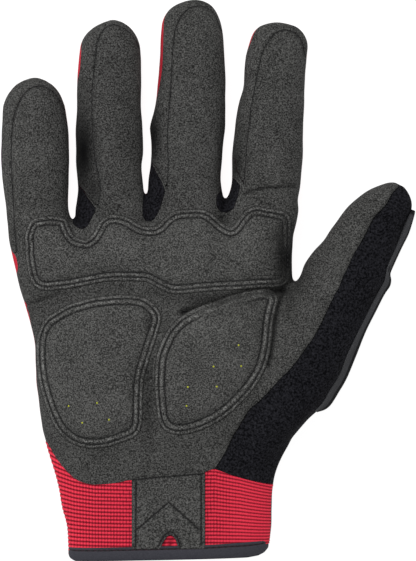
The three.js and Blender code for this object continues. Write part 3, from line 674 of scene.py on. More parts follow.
def back_lift(points):
    """How far over the seam's level the back reaches at each point."""
    x, y = pixels(points)
    return MM * sum(high * np.exp(-(((x - a) / wide) ** 2) - ((y - b) / tall) ** 4)
                    for a, b, wide, tall, high in BACK_SHOWS)


# The panels carry the painted shade of the seams and folds and the soft shade, which fades out under the seams.
front = np.clip((skin[:, 2] - SEAM_Z + SHADE_STARTS) / SHADE_STARTS, 0, 1)
marked = np.column_stack([skin, np.maximum(shade, soft_shade(skin) * front), skin_normals])
seam_level = skin[:, 2] - SEAM_Z - back_lift(skin)
front_half = trim(marked, skin_triangles, seam_level)
back_half = trim(marked, skin_triangles, -seam_level)


# The rest of each region's outline, past the seam that it is cut along, and the thumb's back.
CUFF_EDGE = [(330, 488), (330, 542.5), (266, 542.5), (258, 549), (247, 552), (205, 554), (136, 555.5),
             (92, 556.5), (76, 556.5), (69, 553.6), (-20, 553.6), (-20, 436)]
BAND_OUTSIDE = [(440, 150), (460, 300), (330, 500), (273, 486.2), (258.4, 483.5), (234.5, 476.9),
                (216, 470.2)]
GREY_OUTSIDE = [(395, 160), (345, 180), (310, 225), (297, 262), (297, 274)]
THUMB_FORK = (258.4, 402)
THUMB_BACK = [(294, 284), (276, 320), (262, 370), (262, 430), (268, 486), (330, 500), (460, 300),
              (440, 150), (345, 180), (310, 225), (297, 262)]
cuff_region = np.vstack([smooth_line(facing(HEM_SEAM)), place(CUFF_EDGE)])
colour_line = smooth_line(facing(THUMB_COLOUR_SEAM))[::-1]
band_region = np.vstack([colour_line, place(BAND_OUTSIDE)])
past_fork = colour_line[colour_line[:, 1] > facing(THUMB_FORK)[1]]
grey_region = np.vstack([smooth_line(facing(PALM_THUMB_SEAM)), past_fork, place(GREY_OUTSIDE)])
regions = [("cuff", cuff_region), ("thumb_band", band_region), ("thumb_panel", grey_region)]
for finger, seam in SIDE_SEAMS.items():
    regions.append((f"{finger}_side", np.vstack([smooth_line(facing(seam)), place(SIDE_OUTSIDES[finger])])))
for web, points in WEBS.items():
    regions.append((f"web_gusset_{web}", place(points)))
cut = {}
rest = front_half
for name, outline in regions:
    field = signed_distance(rest[0], outline)
    gap = 0 if name == "thumb_panel" else SEAM_GAP
    cut[name] = trim(*rest, field - gap)
    rest = trim(*rest, -field - gap)
cut["palm_panel"] = rest
rest = back_half
for name, outline in (("cuff_back", cuff_region), ("thumb_back", place(THUMB_BACK))):
    field = signed_distance(rest[0], outline)
    cut[name] = trim(*rest, field)
    rest = trim(*rest, -field)
cut["back_panel"] = rest

# Each panel with its material, its slot, and its cloth's flat width and length and real area in metres.
PANELS = [
    ("palm_panel", grey_suede, "grey_suede", (0.130, 0.215), 0.0223),
    ("thumb_panel", grey_suede, "grey_suede", (0.040, 0.110), 0.0023),
    ("thumb_band", black_suede, "black_suede", (0.050, 0.150), 0.0040),
    ("thumb_back", black_suede, "black_suede", (0.058, 0.140), 0.0051),
    ("little_side", grey_suede, "side_suede", (0.016, 0.085), 0.00085),
    ("ring_side", grey_suede, "side_suede", (0.018, 0.095), 0.00108),
    ("middle_side", grey_suede, "side_suede", (0.017, 0.100), 0.00096),
    ("index_side", grey_suede, "side_suede", (0.017, 0.090), 0.00091),
    ("web_gusset_little_ring", black_suede, "black_suede", (0.017, 0.022), 0.00023),
    ("web_gusset_ring_middle", black_suede, "black_suede", (0.018, 0.026), 0.00029),
    ("web_gusset_middle_index", black_suede, "black_suede", (0.016, 0.019), 0.00020),
    ("back_panel", red_stretch, "red_stretch", (0.135, 0.225), 0.0266),
    ("cuff_back", slate_cloth, "slate_cloth", (0.128, 0.046), 0.0049),
]
for name, material, slot, flat, area in PANELS:
    panel(name, *cut[name], material, slot, flat, area)
bpy.data.objects.remove(form)


# The three palm pads: a suede cover over foam, sewn to the palm through a double row of black stitches. The
# foam fills the middle, the rows pull it down, and a soft welt of suede stands between and outside them.
PAD_OUTLINES = {
    "knuckle_pad": [
        (28.3, 254), (28, 244), (27.6, 236.6), (28.7, 231.7), (31.1, 226), (33.9, 222.5), (38.2, 221.2),
        (48.7, 219.9), (59.9, 220.6), (63.4, 223.4), (65.2, 229), (67.6, 233.4), (70.8, 238), (76, 241.4),
        (85.2, 243.2), (89.4, 241.8), (95, 237), (99.2, 229.6), (103.6, 222), (110.4, 218.4), (119, 218.8),
        (128, 221.8), (133.2, 225.3), (140.2, 229), (147.2, 230.4), (153.5, 230.4), (157.7, 229),
        (161.9, 226), (166.1, 221.4), (171, 217), (178, 214), (192.8, 212.7), (201.9, 213), (208.2, 215.5),
        (213.8, 219.7), (220, 225.3), (227, 230), (232.5, 230.8), (237.2, 227.3), (240.7, 222.4),
        (244.9, 216.7), (249.1, 212.8), (253.3, 210.6), (259.6, 210.2), (266.6, 211.8), (275.8, 213),
        (282.8, 214.8), (287.2, 218.8), (288, 226), (288.4, 250), (287.6, 272), (284.5, 281),
        (275.8, 283.9), (263, 284.1), (242, 285.5), (220, 286.4), (194.2, 288.5), (180.2, 289.9),
        (170.3, 289.2), (160.5, 284.6), (152, 280), (143.7, 277.5), (125, 277), (114.6, 276.8),
        (102.7, 278), (92.2, 280), (78, 282.7), (71, 284), (57, 285.9), (46.6, 286.7), (39.6, 285.4),
        (34.6, 281.5), (31.8, 275), (29.7, 265)],
    "heel_pad": [
        (38.5, 356), (38.9, 342), (41.2, 333), (44.3, 326), (50.5, 319.4), (59.5, 313.6), (70.2, 308),
        (80, 305), (90.7, 302), (105.9, 299.7), (119.3, 298.8), (134.5, 299.3), (143.4, 301.5),
        (150.5, 306.4), (155.9, 312.7), (157.2, 319), (155.9, 326), (153.2, 335), (149.6, 345.7),
        (145.2, 360), (141.4, 372), (139.6, 383), (138.9, 403), (138.6, 415), (137.4, 427), (132, 433.8),
        (122.9, 437.7), (108.6, 442.6), (96, 444.6), (83.6, 443.8), (72.9, 440.2), (63, 432.6),
        (56.8, 424.3), (50.5, 411), (46, 398.5), (41.6, 383), (39.3, 368)],
    "thenar_pad": [
        (158.5, 381), (159.4, 363), (161.4, 353), (165.4, 342.8), (169.6, 334.2), (174.8, 327.4),
        (181.6, 321), (190, 315.4), (199, 311), (208, 307.4), (221.4, 302.8), (234.8, 298.4), (249, 294.8),
        (261, 293), (268, 293.4), (273, 296), (274.7, 300.4), (272.8, 307), (270.9, 315), (269.7, 322),
        (269, 329), (268, 340), (266.3, 352), (262.4, 366), (257.4, 376), (251.6, 385), (244.6, 393.6),
        (237, 401.6), (228.7, 409.4), (220, 416), (210.7, 421.4), (198.2, 427), (185.7, 430.2),
        (176.8, 430.8), (168.4, 428), (162.9, 421.4), (160.7, 412.5), (159.2, 398)],
}
# The pad's height over the palm at distances inside its outer row of stitches, both in mm.
PAD_RELIEF = [(-1.9, 0.1), (-1.5, 0.55), (-0.8, 0.95), (-0.3, 0.62), (0, 0.28), (0.3, 0.62), (1.0, 1.05),
              (1.7, 0.72), (2.05, 0.42), (2.4, 0.75), (3.4, 1.35), (5, 1.95), (8, 2.45), (13, 2.75),
              (30, 2.9)]
STITCH_ROWS_MM = (0, 2.05)
ROW_SPACING_MM = {"knuckle_pad": 2.15, "heel_pad": 2.5, "thenar_pad": 2.75}
# Along the thumb's fold the palm puffs over the pad's edge and hides its stitches: middle and reach of that
# in pixels with its slope, and the pad's height there as above.
TUCKED = (232, 299, 40, 9, -0.36)
TUCKED_RELIEF = [(-1.9, 0.0), (0, 1.2), (3, 2.3), (6, 2.6), (13, 2.8), (30, 2.9)]
PAD_MARGIN_MM = 1.9
PAD_LINE_STEP = 0.0008
PAD_GRID = 0.00046


def height_on(tree, x, y, miss=SEAM_Z):
    """The height of a surface's upper side at a spot."""
    hit = tree.ray_cast(Vector((x, y, 0.08)), Vector((0, 0, -1)))[0]
    return hit.z if hit else miss


def plan_grid(outline, margin, step):
    """A triangulated flat grid over an outline, cut along it, with its distance inside as a third column."""
    low, high = outline.min(0) - margin - 2 * step, outline.max(0) + margin + 2 * step
    xs = np.arange(low[0], high[0], step)
    ys = np.arange(low[1], high[1], step)
    grid = np.stack(np.meshgrid(xs, ys), -1).reshape(-1, 2)
    row, column = np.meshgrid(np.arange(len(ys) - 1), np.arange(len(xs) - 1), indexing="ij")
    a = (row * len(xs) + column).ravel()
    b, c, d = a + 1, a + 1 + len(xs), a + len(xs)
    even = ((row + column) % 2 == 0).ravel()[:, None]
    triangles = np.vstack([np.where(even, np.stack([a, b, c], 1), np.stack([a, b, d], 1)),
                           np.where(even, np.stack([a, c, d], 1), np.stack([b, c, d], 1))])
    depth = signed_distance(grid, outline, reach=0.035)
    points = np.column_stack([grid, depth])
    return trim(points, triangles, depth + margin)


def closed_patch(name, plan, triangles, top, base):
    """A closed piece between a top and a base height at each point of a flat patch."""
    count = len(plan)
    points = np.vstack([np.column_stack([plan, top]), np.column_stack([plan, base])])
    faces = [tuple(t) for t in triangles] + [tuple(t[::-1] + count) for t in triangles]
    for a, b in open_edges(triangles):
        faces += [(a, a + count, b + count, b)]
    return new_mesh(name, points, faces)


def tuck(points):
    """How far each point is tucked under the thumb's fold, from 0 to 1."""
    x, y, wide, tall, slope = TUCKED
    px, py = pixels(points)
    across = px - x
    down = py - y - slope * across
    return np.exp(-((across / wide) ** 6) - np.abs(down / tall) ** 4)


stitched = {}
for name, corners in PAD_OUTLINES.items():
    outline = smooth_line(facing(corners, PAD_RISE), PAD_LINE_STEP, closed=True)
    grid, triangles = plan_grid(outline, PAD_MARGIN_MM * MM, PAD_GRID)
    spacing = ROW_SPACING_MM[name]
    depth = np.interp(grid[:, 2] / MM, [-10, 0, spacing, 50], [-10, 0, STITCH_ROWS_MM[1], 50 - spacing])
    relief = np.interp(depth, *np.array(PAD_RELIEF).T)
    base = np.array([height_on(skin_tree, x, y) for x, y in grid[:, :2]])
    lumps = np.array([noise.noise(Vector((x, y, 0)) * 120) for x, y in grid[:, :2]])
    pucker = np.array([noise.noise(Vector((x, y, 0.01)) * 380) for x, y in grid[:, :2]])
    tucked = tuck(grid) if name == "thenar_pad" else np.zeros(len(grid))
    relief = relief * (1 - tucked) + np.interp(depth, *np.array(TUCKED_RELIEF).T) * tucked
    pulled = np.exp(-(((depth - 1) / 2.2) ** 2)) * (1 - tucked)
    top = base + (relief + 0.18 * lumps * np.clip(relief / 2, 0, 1) + 0.3 * pucker * pulled) * MM
    pad = closed_patch(f"{name}_cover", grid[:, :2], triangles, top, base + 0.00004)
    # Painted shade in the stitch channels and along the pad's edge, and the soft painted shade of the folds.
    rows = np.min([np.abs(depth - row) for row in STITCH_ROWS_MM], axis=0)
    creased = np.exp(-((rows / 0.34) ** 2)) * np.clip(0.85 + 0.5 * pucker, 0.5, 1) * (1 - tucked)
    edge = np.exp(-(((depth + PAD_MARGIN_MM) / 0.35) ** 2)) * 0.7
    dark = np.max([creased, edge, soft_shade(grid)], axis=0)
    mark_surface(pad, "shade", np.concatenate([dark] * 2))
    # The welts' ridges get worn nap with a painted highlight.
    ridges = np.max([np.exp(-(((depth - ridge) / 0.45) ** 2)) for ridge in (-0.85, 1.0)], axis=0)
    mark_surface(pad, "worn_and_highlit", np.concatenate([np.clip(ridges * (0.4 + 0.9 * pucker), 0, 1)] * 2))
    smooth(pad, 60)
    dress(pad, pad_suede, [name])
    stitched[name] = (outline, spacing, tree_of(np.column_stack([grid[:, :2], top]), triangles))


# Stitching: bonded black thread, laid as short tight stitches in the channels that it pulls into the suede.
STITCH_PITCH = 0.0021
STITCH_LONG = 0.0015
THREAD_RADIUS = 0.00024
STITCH_SIDES = 6
# How thick the thread is at the five points along a stitch, and where those lie along it.
STITCH_SHARES = (0.35, 0.9, 1, 0.9, 0.35)
STITCH_STOPS = np.array([-0.5, -0.42, 0, 0.42, 0.5])
thread = finish_of("thread", knit_loops, (0.0012, 0.0012, 0.0014), (0.007, 0.007, 0.008), 900, 0.6, 0.0001)


def inset_line(outline, inside):
    """A closed outline moved inward by a distance, with sharp turns smoothed out."""
    forward = np.roll(outline, -1, 0) - np.roll(outline, 1, 0)
    normal = np.stack([-forward[:, 1], forward[:, 0]], 1) / np.linalg.norm(forward, axis=1)[:, None]
    turns = np.sum(outline[:, 0] * np.roll(outline[:, 1], -1) - np.roll(outline[:, 0], -1) * outline[:, 1])
    moved = outline + normal * inside * np.sign(turns)
    keep = signed_distance(moved, outline, reach=abs(inside) * 2) > abs(inside) * 0.9
    return moved[keep]


def stitch_row(tree, line, closed=False, pitch=STITCH_PITCH, length=STITCH_LONG, lift=0.00008):
    """The points and faces of the stitches along a line on a surface."""
    ends = np.vstack([line, line[:1]]) if closed else line
    run = np.concatenate([[0], np.cumsum(np.linalg.norm(np.diff(ends, axis=0), axis=1))])
    count = max(1, int(run[-1] / pitch))
    points, faces = [], []
    ring = np.linspace(0, 2 * math.pi, STITCH_SIDES, endpoint=False)
    for k in range(count):
        middle = (k + 0.5) * run[-1] / count
        stops = middle + STITCH_STOPS * length
        x, y = np.interp(stops, run, ends[:, 0]), np.interp(stops, run, ends[:, 1])
        z = np.array([height_on(tree, a, b) for a, b in zip(x, y)]) + lift
        if z.min() < SEAM_Z + 0.002 or np.abs(np.diff(z)).max() > 0.001:
            continue
        z[[0, -1]] -= THREAD_RADIUS * 0.8
        spine = np.stack([x, y, z], 1)
        ahead = spine[-1] - spine[0]
        side = np.cross((0, 0, 1), ahead)
        side /= np.linalg.norm(side)
        up = np.cross(ahead, side)
        up /= np.linalg.norm(up)
        start = len(points)
        for centre, share in zip(spine, STITCH_SHARES):
            radius = THREAD_RADIUS * share
            points += [centre + radius * (math.cos(t) * side + math.sin(t) * up) for t in ring]
        last = start + (len(STITCH_SHARES) - 1) * STITCH_SIDES
        faces.append(tuple(start + i for i in range(STITCH_SIDES))[::-1])
        faces.append(tuple(last + i for i in range(STITCH_SIDES)))
        faces += [face[::-1] for face in loop_faces(len(STITCH_SHARES), STITCH_SIDES, start)]
    return points, faces


def stitching(name, rows):
    """All the rows of stitches of one group as one piece."""
    points, faces = [], []
    for row_points, row_faces in rows:
        faces += [tuple(i + len(points) for i in face) for face in row_faces]
        points += row_points
    piece = new_mesh(name, points, faces)
    for polygon in piece.data.polygons:
        polygon.use_smooth = True
    dress(piece, thread)


for name, (outline, spacing, tree) in stitched.items():
    lines = [outline, inset_line(outline, spacing * MM)]
    if name == "thenar_pad":
        lines = [np.roll(line, -int(np.argmax(tuck(line))), 0) for line in lines]
        lines = [line[tuck(line) < 0.4] for line in lines]
    rows = [stitch_row(tree, line, closed=name != "thenar_pad") for line in lines]
    stitching(f"{name}_stitches", rows)


seam_rows = [stitch_row(skin_tree, smooth_line(facing(line)), pitch=0.0026, length=0.0018, lift=-0.00005)
             for line in SIDE_SEAMS.values()]
stitching("side_seam_stitches", seam_rows)


# Vent holes: small punched holes in the heel and thumb pads that show the yellow-green foam inside.
VENTS = [(68.4, 406.4), (97.1, 403), (82.1, 423), (109, 419.8), (238.6, 345.2), (213.6, 366.5),
         (241.1, 366.1), (187.9, 387), (216.8, 386.6), (186.6, 405.8)]
VENT_RADIUS = 0.00046
# The pads' tops lie this far over their stitches. Left of this pixel a vent is on the heel pad.
VENT_RISE = 0.002
HEEL_ENDS = 150
foam = finish_of("vent_foam", knit_loops, (0.20, 0.22, 0.015), (0.60, 0.62, 0.05), 900, 0.8, 0.0001)
vents = []
for x, y in facing(VENTS, PAD_RISE + VENT_RISE):
    tree = stitched["heel_pad" if x < place((HEEL_ENDS, 0))[0] else "thenar_pad"][2]
    bpy.ops.mesh.primitive_uv_sphere_add(segments=12, ring_count=6, radius=VENT_RADIUS,
                                         location=(x, y, height_on(tree, x, y) - VENT_RADIUS * 0.35))
    vents.append(bpy.context.object)
vents = joined(vents, "pad_vents")
bpy.ops.object.transform_apply(location=True, rotation=True, scale=True)
bpy.ops.object.shade_smooth()
dress(vents, foam)


# The cuff: a wide red elastic, woven in ribs across the wrist, under the suede tab that closes its gap. Its
# ribs bend up on the little finger's side and down on the thumb's side, where the palm's hem pulls them.
RIB_PITCH_PX = 3.7
COLUMN_PITCH_PX = 3.1
RIB_HEIGHT = 0.00034
COLUMN_HEIGHT = 0.00014
BAND_SUNK = 0.0007
BAND_THICKNESS = 0.0009
# The band lies this much under the palm's hem. Its rows run between these two pixel rows.
BAND_UNDER_HEM = 0.00015
BAND_ENDS = (558, 437)
# The elastic's red, and the deeper red of the painted shade in the grooves between ribs and columns.
RIB_RED, GROOVE_SHADE_RED = (0.77, 0.040, 0.074, 1), (0.11, 0.003, 0.009, 1)
BAND_ROWS = 162
BAND_COLUMNS = 310
RIB_BEND = [(40, 15), (60, 8), (75, 4), (95, 1), (130, 0), (215, 0), (240, -5), (272, -15), (290, -20)]
# How strongly the columns between the ribs show, at these pixels across the cuff.
CHECKED = [(60, 0.35), (90, 0.9), (131, 1), (205, 1), (222, 0.7), (240, 0.2), (270, 0.1)]


def hand_section(y):
    """The glove's section (x, half, front, back) at a height along it."""
    order = np.argsort(hand_rows[:, 1])
    return [np.interp(y, hand_rows[order, 1], hand_rows[order, k]) for k in (0, 2, 4, 5)]


def elastic():
    """Ribbed elastic: bright red on its ribs and painted shade between them, with a fine yarn over both."""
    material = bpy.data.materials.new("red_elastic")
    material.use_nodes = True
    tree = material.node_tree
    shader = tree.nodes["Principled BSDF"].inputs
    shader["Roughness"].default_value = 0.75
    shader["Specular IOR Level"].default_value = 0.05
    where = node_in(tree, "TexCoord").outputs["Object"]
    yarn = node_in(tree, "TexNoise", {"Vector": where, "Scale": 2200}).outputs["Fac"]
    ramp = node_in(tree, "ValToRGB", {"Fac": attribute(tree, "shade")})
    ramp.color_ramp.elements[0].color = RIB_RED
    ramp.color_ramp.elements[1].color = GROOVE_SHADE_RED
    cloth = node_in(tree, "Mix", {"Factor": 0.35, "A": ramp.outputs["Color"], "B": yarn}, data_type="RGBA",
                    blend_type="OVERLAY").outputs["Result"]
    tree.links.new(cloth, shader["Base Color"])
    bump = node_in(tree, "Bump", {"Strength": 0.3, "Distance": 0.0002, "Height": yarn})
    tree.links.new(bump.outputs["Normal"], shader["Normal"])
    return material


red_elastic = elastic()
band_y = np.linspace(*place([(0, y) for y in BAND_ENDS])[:, 1], BAND_ROWS)
turn = np.linspace(math.pi + 0.35, -0.05, BAND_COLUMNS)
spots = []
for y in band_y:
    x, half, front_deep, back_deep = hand_section(y)
    across = x + half * squared(np.cos(turn))
    deep = np.where(turn > math.pi, back_deep, front_deep) * squared(np.sin(turn))
    spots.append(np.stack([across, np.full_like(turn, y), SEAM_Z + deep], -1))
spots = np.concatenate(spots)
found = [skin_tree.find_nearest(Vector(spot)) for spot in spots]
on_skin = np.array([hit[0] for hit in found])
outward = np.array([hit[1] for hit in found])
px, py = pixels(on_skin)
rise = np.clip((548 - py) / 70, 0, 1.4)
bend = np.interp(px, *np.array(RIB_BEND).T) * rise
rib = np.abs(np.sin(math.pi * (py + bend) / RIB_PITCH_PX))
column = np.abs(np.sin(math.pi * px / COLUMN_PITCH_PX))
checked = np.interp(px, *np.array(CHECKED).T)
height = RIB_HEIGHT * rib**0.7 + COLUMN_HEIGHT * column**0.7 * checked
height -= BAND_SUNK * np.tile(np.clip(2.5 * np.sin(turn), 0, 1), BAND_ROWS)
band_points = on_skin + outward * height[:, None]
# Painted shade down in the grooves between the ribs and between the columns.
band_shade = np.clip(1.3 * (1 - rib) ** 1.1 + 0.8 * (1 - column) ** 1.6 * checked, 0, 1)
row, side = np.meshgrid(np.arange(BAND_ROWS - 1), np.arange(BAND_COLUMNS - 1), indexing="ij")
a = (row * BAND_COLUMNS + side).ravel()
band_triangles = np.vstack([np.stack([a, a + 1, a + 1 + BAND_COLUMNS], 1),
                            np.stack([a, a + 1 + BAND_COLUMNS, a + BAND_COLUMNS], 1)])
band = np.column_stack([band_points, band_shade])
hem_field = signed_distance(band, cuff_region)
band, band_triangles = trim(band, band_triangles, hem_field + BAND_UNDER_HEM)
to_back = np.where(band[:, 0] > band[:, 0].mean(), band[:, 2] - SEAM_Z - back_lift(band), 1)
points, triangles = largest_part(*trim(band, band_triangles, to_back))
piece = new_mesh("cuff_band_elastic", points[:, :3], triangles)
mark_surface(piece, "shade", points[:, 3])
apply_modifier(piece, "SOLIDIFY", thickness=BAND_THICKNESS, offset=-1)
smooth(piece, 60)
dress(piece, red_elastic, ["cuff_band"])


# The tab: a rectangle of the palm's suede from the hem down over the elastic, stitched at both sides, with
# a stitched chevron for a finger hold and a small arched notch at the binding that shows the elastic.
TAB_LEFT, TAB_RIGHT, TAB_TOP, TAB_BOTTOM = 131.7, 205.1, 468, 549
NOTCH = [(160.6, 549), (162.6, 543.4), (165.6, 538.4), (168, 535.8), (170.2, 535), (172.4, 535.8),
         (174.8, 538.4), (177, 543.4), (178.2, 549)]
CHEVRON = [(137.4, 529.2), (168.6, 502.2), (199.4, 529.6)]
NOTCH_STITCH = [(158.4, 546.5), (161, 541), (165, 534.9), (168, 532.4), (170.2, 531.7), (172.6, 532.4),
                (175.6, 535), (178.6, 541), (180, 546)]
TAB_SIDE_STITCHES = [[(136, 480.8), (135.8, 546.4)], [(201.2, 475.4), (201.2, 545)]]
TAB_HEM_STITCH = [(133, 480), (155.7, 477.4), (174.2, 476), (203.6, 473.6)]
# How far the tab reaches past the hem, rolls down at its edges, and lies and stands over the palm.
TAB_PAST_HEM, TAB_ROLL = 0.0007, 0.0006
TAB_LIFT, TAB_ROUND = 0.00025, 0.0004
TAB_GRID = 0.0004
tab_outline = facing([(TAB_LEFT, TAB_TOP), (TAB_LEFT, TAB_BOTTOM), *NOTCH, (TAB_RIGHT, TAB_BOTTOM),
                      (TAB_RIGHT, TAB_TOP)])
grid, triangles = plan_grid(tab_outline, 0, TAB_GRID)
grid, triangles = trim(grid, triangles, signed_distance(grid, cuff_region, 0.1) + TAB_PAST_HEM)
base = np.array([height_on(skin_tree, x, y) for x, y in grid[:, :2]])
tab_lines = [CHEVRON[:2], CHEVRON[1:], NOTCH_STITCH, TAB_HEM_STITCH, *TAB_SIDE_STITCHES]
sewn = [smooth_line(facing(line)) for line in tab_lines]
pulled = np.max([np.exp(-((distance_to(grid, line) / TAB_ROUND) ** 2)) for line in sewn], axis=0)
rolled = np.clip(grid[:, 2] / TAB_ROLL, 0, 1) ** 0.5
top = base + TAB_LIFT + TAB_ROUND * rolled - TAB_ROUND * pulled
tab = closed_patch("cuff_tab_suede", grid[:, :2], triangles, top, base - 0.0003)
# Painted shade in the stitch channels and on the edges where the tab rolls down.
mark_surface(tab, "shade", np.concatenate([np.maximum(pulled * 0.8, 0.4 * (1 - rolled))] * 2))
apply_modifier(tab, "WEIGHTED_NORMAL")
smooth(tab, 50)
dress(tab, pad_suede, ["cuff_tab"])
tab_tree = tree_of(np.column_stack([grid[:, :2], top]), triangles)
stitching("cuff_tab_stitches", [stitch_row(tab_tree, line) for line in sewn])


# The binding: a dark tape folded over the hem all round and sewn with one row near its upper edge.
BINDING_TOP = [(60, 546.8), (69.5, 546.4), (132, 544.4), (205, 542.4), (267.5, 539.2), (275, 538.6)]
BINDING_END = [(60, 554), (68.5, 555), (71, 557.8), (76, 559.9), (92, 559.4), (136, 558), (205, 556.6),
               (247, 555.6), (258, 554), (264, 551.4), (268, 547.5), (275, 546)]
# The tape's section, folded over the hem: share of its height from the top, and mm out of the cuff.
TAPE = [(0.0, -0.1), (0.03, 0.35), (0.13, 0.4), (0.21, 0.1), (0.29, 0.4), (0.45, 0.6), (0.7, 0.6),
        (0.88, 0.4), (0.97, 0.0), (1.0, -0.8), (0.97, -1.7), (0.88, -2.1), (0.5, -2.3), (0.1, -2.2),
        (0.0, -2.0)]
TAPE_SIDES = 320
TAPE_THICKNESS = 0.0005
# The groove of the stitch row, at this share of the tape, gets painted shade this dark.
TAPE_GROOVE = 0.21
GROOVE_DARK = 0.75
HEM_ROW = 549
around = np.linspace(0, 2 * math.pi, TAPE_SIDES, endpoint=False)
cos, sin = np.cos(around), np.sin(around)
x, half, front_deep, back_deep = hand_section(place((0, HEM_ROW))[1])
tape_top, tape_end = np.array(BINDING_TOP).T, np.array(BINDING_END).T
points = []
for share, out in TAPE:
    across = x + (half + out * MM * (1 if out < 0 else 0.4)) * squared(cos)
    deep = np.where(sin > 0, front_deep, back_deep) + out * MM
    at = across / PIXEL + ORIGIN_PIXEL[0]
    along = (1 - share) * np.interp(at, *tape_top) + share * np.interp(at, *tape_end)
    lumps = np.array([noise.noise(Vector((a * 90, b * 90, share * 2))) for a, b in zip(across, deep)])
    up = SEAM_Z + (deep + lumps * 0.00015) * squared(sin)
    points.append(np.stack([across, (ORIGIN_PIXEL[1] - along) * PIXEL, np.maximum(up, 0.0003)], -1))
points = np.concatenate(points)
faces = [face[::-1] for face in loop_faces(len(TAPE), TAPE_SIDES)]
tape = new_mesh("cuff_binding_tape", points, faces)
grooves = [GROOVE_DARK if share == TAPE_GROOVE else 0 for share, _ in TAPE]
mark_surface(tape, "shade", np.repeat(grooves, TAPE_SIDES))
apply_modifier(tape, "SOLIDIFY", thickness=TAPE_THICKNESS, offset=-1)
smooth(tape, 60)
dress(tape, slate_cloth, ["cuff_binding"])
sewn_x = np.arange(71, 267, 1.0)
sewn_y = 0.8 * np.interp(sewn_x, *tape_top) + 0.2 * np.interp(sewn_x, *tape_end)
tape_line = place(np.stack([sewn_x, sewn_y], -1))
tape_row = stitch_row(tree_of(points, faces), tape_line, pitch=0.0028, lift=0.00016)
stitching("cuff_binding_stitches", [tape_row])


# Moulded guards: matt black rubber. The thumb's guard wraps its outer side and shows there as a rim, with a
# lighter sloping face, painted shade on its outer edge and one knob. Its rows are the rim's outer edge and
# width, in pixels.
guard_rubber = finish_of("guard_rubber", suede_nap, (0.030, 0.0305, 0.033), (0.068, 0.069, 0.074),
                         2600, 0.75, 0.00008)
RIM = [(415.2, 211.4, 2.5), (414, 217.5, 4.5), (409, 233.5, 5.6), (402, 247.8, 5.8), (393.4, 266.5, 6.0),
       (390.6, 274, 5.4), (391.4, 280, 7.4), (390, 286.5, 7.8), (384.4, 295, 6.8), (376, 311.5, 7.2),
       (365.8, 332, 7.4), (355.6, 357.6, 9.4), (346.8, 378.6, 9), (338.5, 393, 9.5), (331.3, 404.4, 9),
       (325.3, 409.6, 8), (317.5, 412.2, 4)]
RIM_INWARD = np.array((-0.90, -0.43))
RIM_LEAST, RIM_MOST = 0.0038, 0.0068
# The rim's section from under the suede, over its edge and round to the thumb's back: share of the width,
# millimetres further in, and height in mm over the seam (None: with the suede), then shade.
RIM_SECTION = [(1.0, 1.4, None, -1.6, 0), (1.0, 0.1, None, 0.25, 0), (0.92, 0, None, 0.4, 0),
               (0.6, 0, 3.8, 0, 0), (0.4, 0, 3.1, 0, 0), (0.33, 0, 2.9, 0, 0.75), (0.24, 0, 2.5, 0, 0.85),
               (0.14, 0, 2.1, 0, 0.88), (0.04, 0, 0.9, 0, 0.9), (0, 0, -0.5, 0, 0.8), (0, 0.05, -1.2, 0, 0),
               (0, 0.1, -4.5, 0, 0), (0.2, 0.6, -8.5, 0, 0), (0.5, 2.0, -11.4, 0, 0),
               (0.6, 5.0, -12.8, 0, 0), (0.6, 9.0, -13.2, 0, 0), (0.6, 12.0, -12.6, 0, 0),
               (0.6, 12.8, -11.8, 0, 0), (0.6, 13.0, -9.4, 0, 0)]
rim_widths = [row[2] * PIXEL for row in RIM]
rim_rows = smooth_line(np.column_stack([place([row[:2] for row in RIM]), rim_widths]), 0.0008)
inward = RIM_INWARD * (1, -1)
points, marks = [], []
for number, (x, y, wide) in enumerate(rim_rows):
    near_end = min(1, (min(number, len(rim_rows) - 1 - number) / 12 + 0.15) ** 0.5)
    inner = np.array((x, y)) + inward * wide
    suede = np.clip(height_on(skin_tree, *inner) - SEAM_Z, RIM_LEAST, RIM_MOST)
    for share, further, height, above, dark in RIM_SECTION:
        spot = np.array((x, y)) + inward * (wide * share + further * MM * near_end)
        if height is None:
            up = suede + above * MM
        else:
            up = height * MM * (near_end if height < -2 else 1)
        points.append((*spot, SEAM_Z + up))
        # The rim's first rows, tucked under the suede, get painted shade.
        marks.append(max(dark, 0.85 if number < 3 else 0))
turn = len(RIM_SECTION)
faces = loop_faces(len(rim_rows), turn)
faces += [tuple(range(turn)), tuple(len(points) - turn + i for i in reversed(range(turn)))]
rim = new_mesh("thumb_guard_rim", points, faces)
mark_surface(rim, "shade", marks)
choose(rim)
bpy.ops.object.mode_set(mode="EDIT")
bpy.ops.mesh.select_all(action="SELECT")
bpy.ops.mesh.normals_make_consistent(inside=False)
bpy.ops.object.mode_set(mode="OBJECT")
smooth(rim, 35)
dress(rim, guard_rubber, ["thumb_guard"])


# The guards on the back can't be seen in the photograph: plain moulded plates with bevelled edges. The
# knuckle guard has one low dome over each knuckle, and each finger guard has two grooves where it bends.
GUARD_GRID = 0.0006
KNUCKLE_PLATE = [(-0.42, 0.03), (-0.385, -0.03), (-0.33, -0.01), (-0.26, 0.05), (-0.19, -0.02),
                 (-0.14, -0.06), (-0.08, -0.03), (-0.01, 0.03), (0.06, -0.05), (0.117, -0.085),
                 (0.18, -0.05), (0.25, 0.02), (0.32, -0.05), (0.375, -0.07), (0.43, -0.02), (0.44, 0.1),
                 (0.33, 0.24), (0.1, 0.32), (-0.18, 0.29), (-0.37, 0.2)]
KNUCKLE_DOMES = [(-0.375, 0.075), (-0.135, 0.05), (0.117, 0.03), (0.36, 0.04)]
PLATE_WIDE, PLATE_TALL, PLATE_MIDDLE = 0.129, 0.115, (-0.0265, 0.0252)
DOME_SIZE, DOME_EDGE = (0.0115, 0.0125), 1.08
FINGER_GROOVES = (0.33, 0.67)
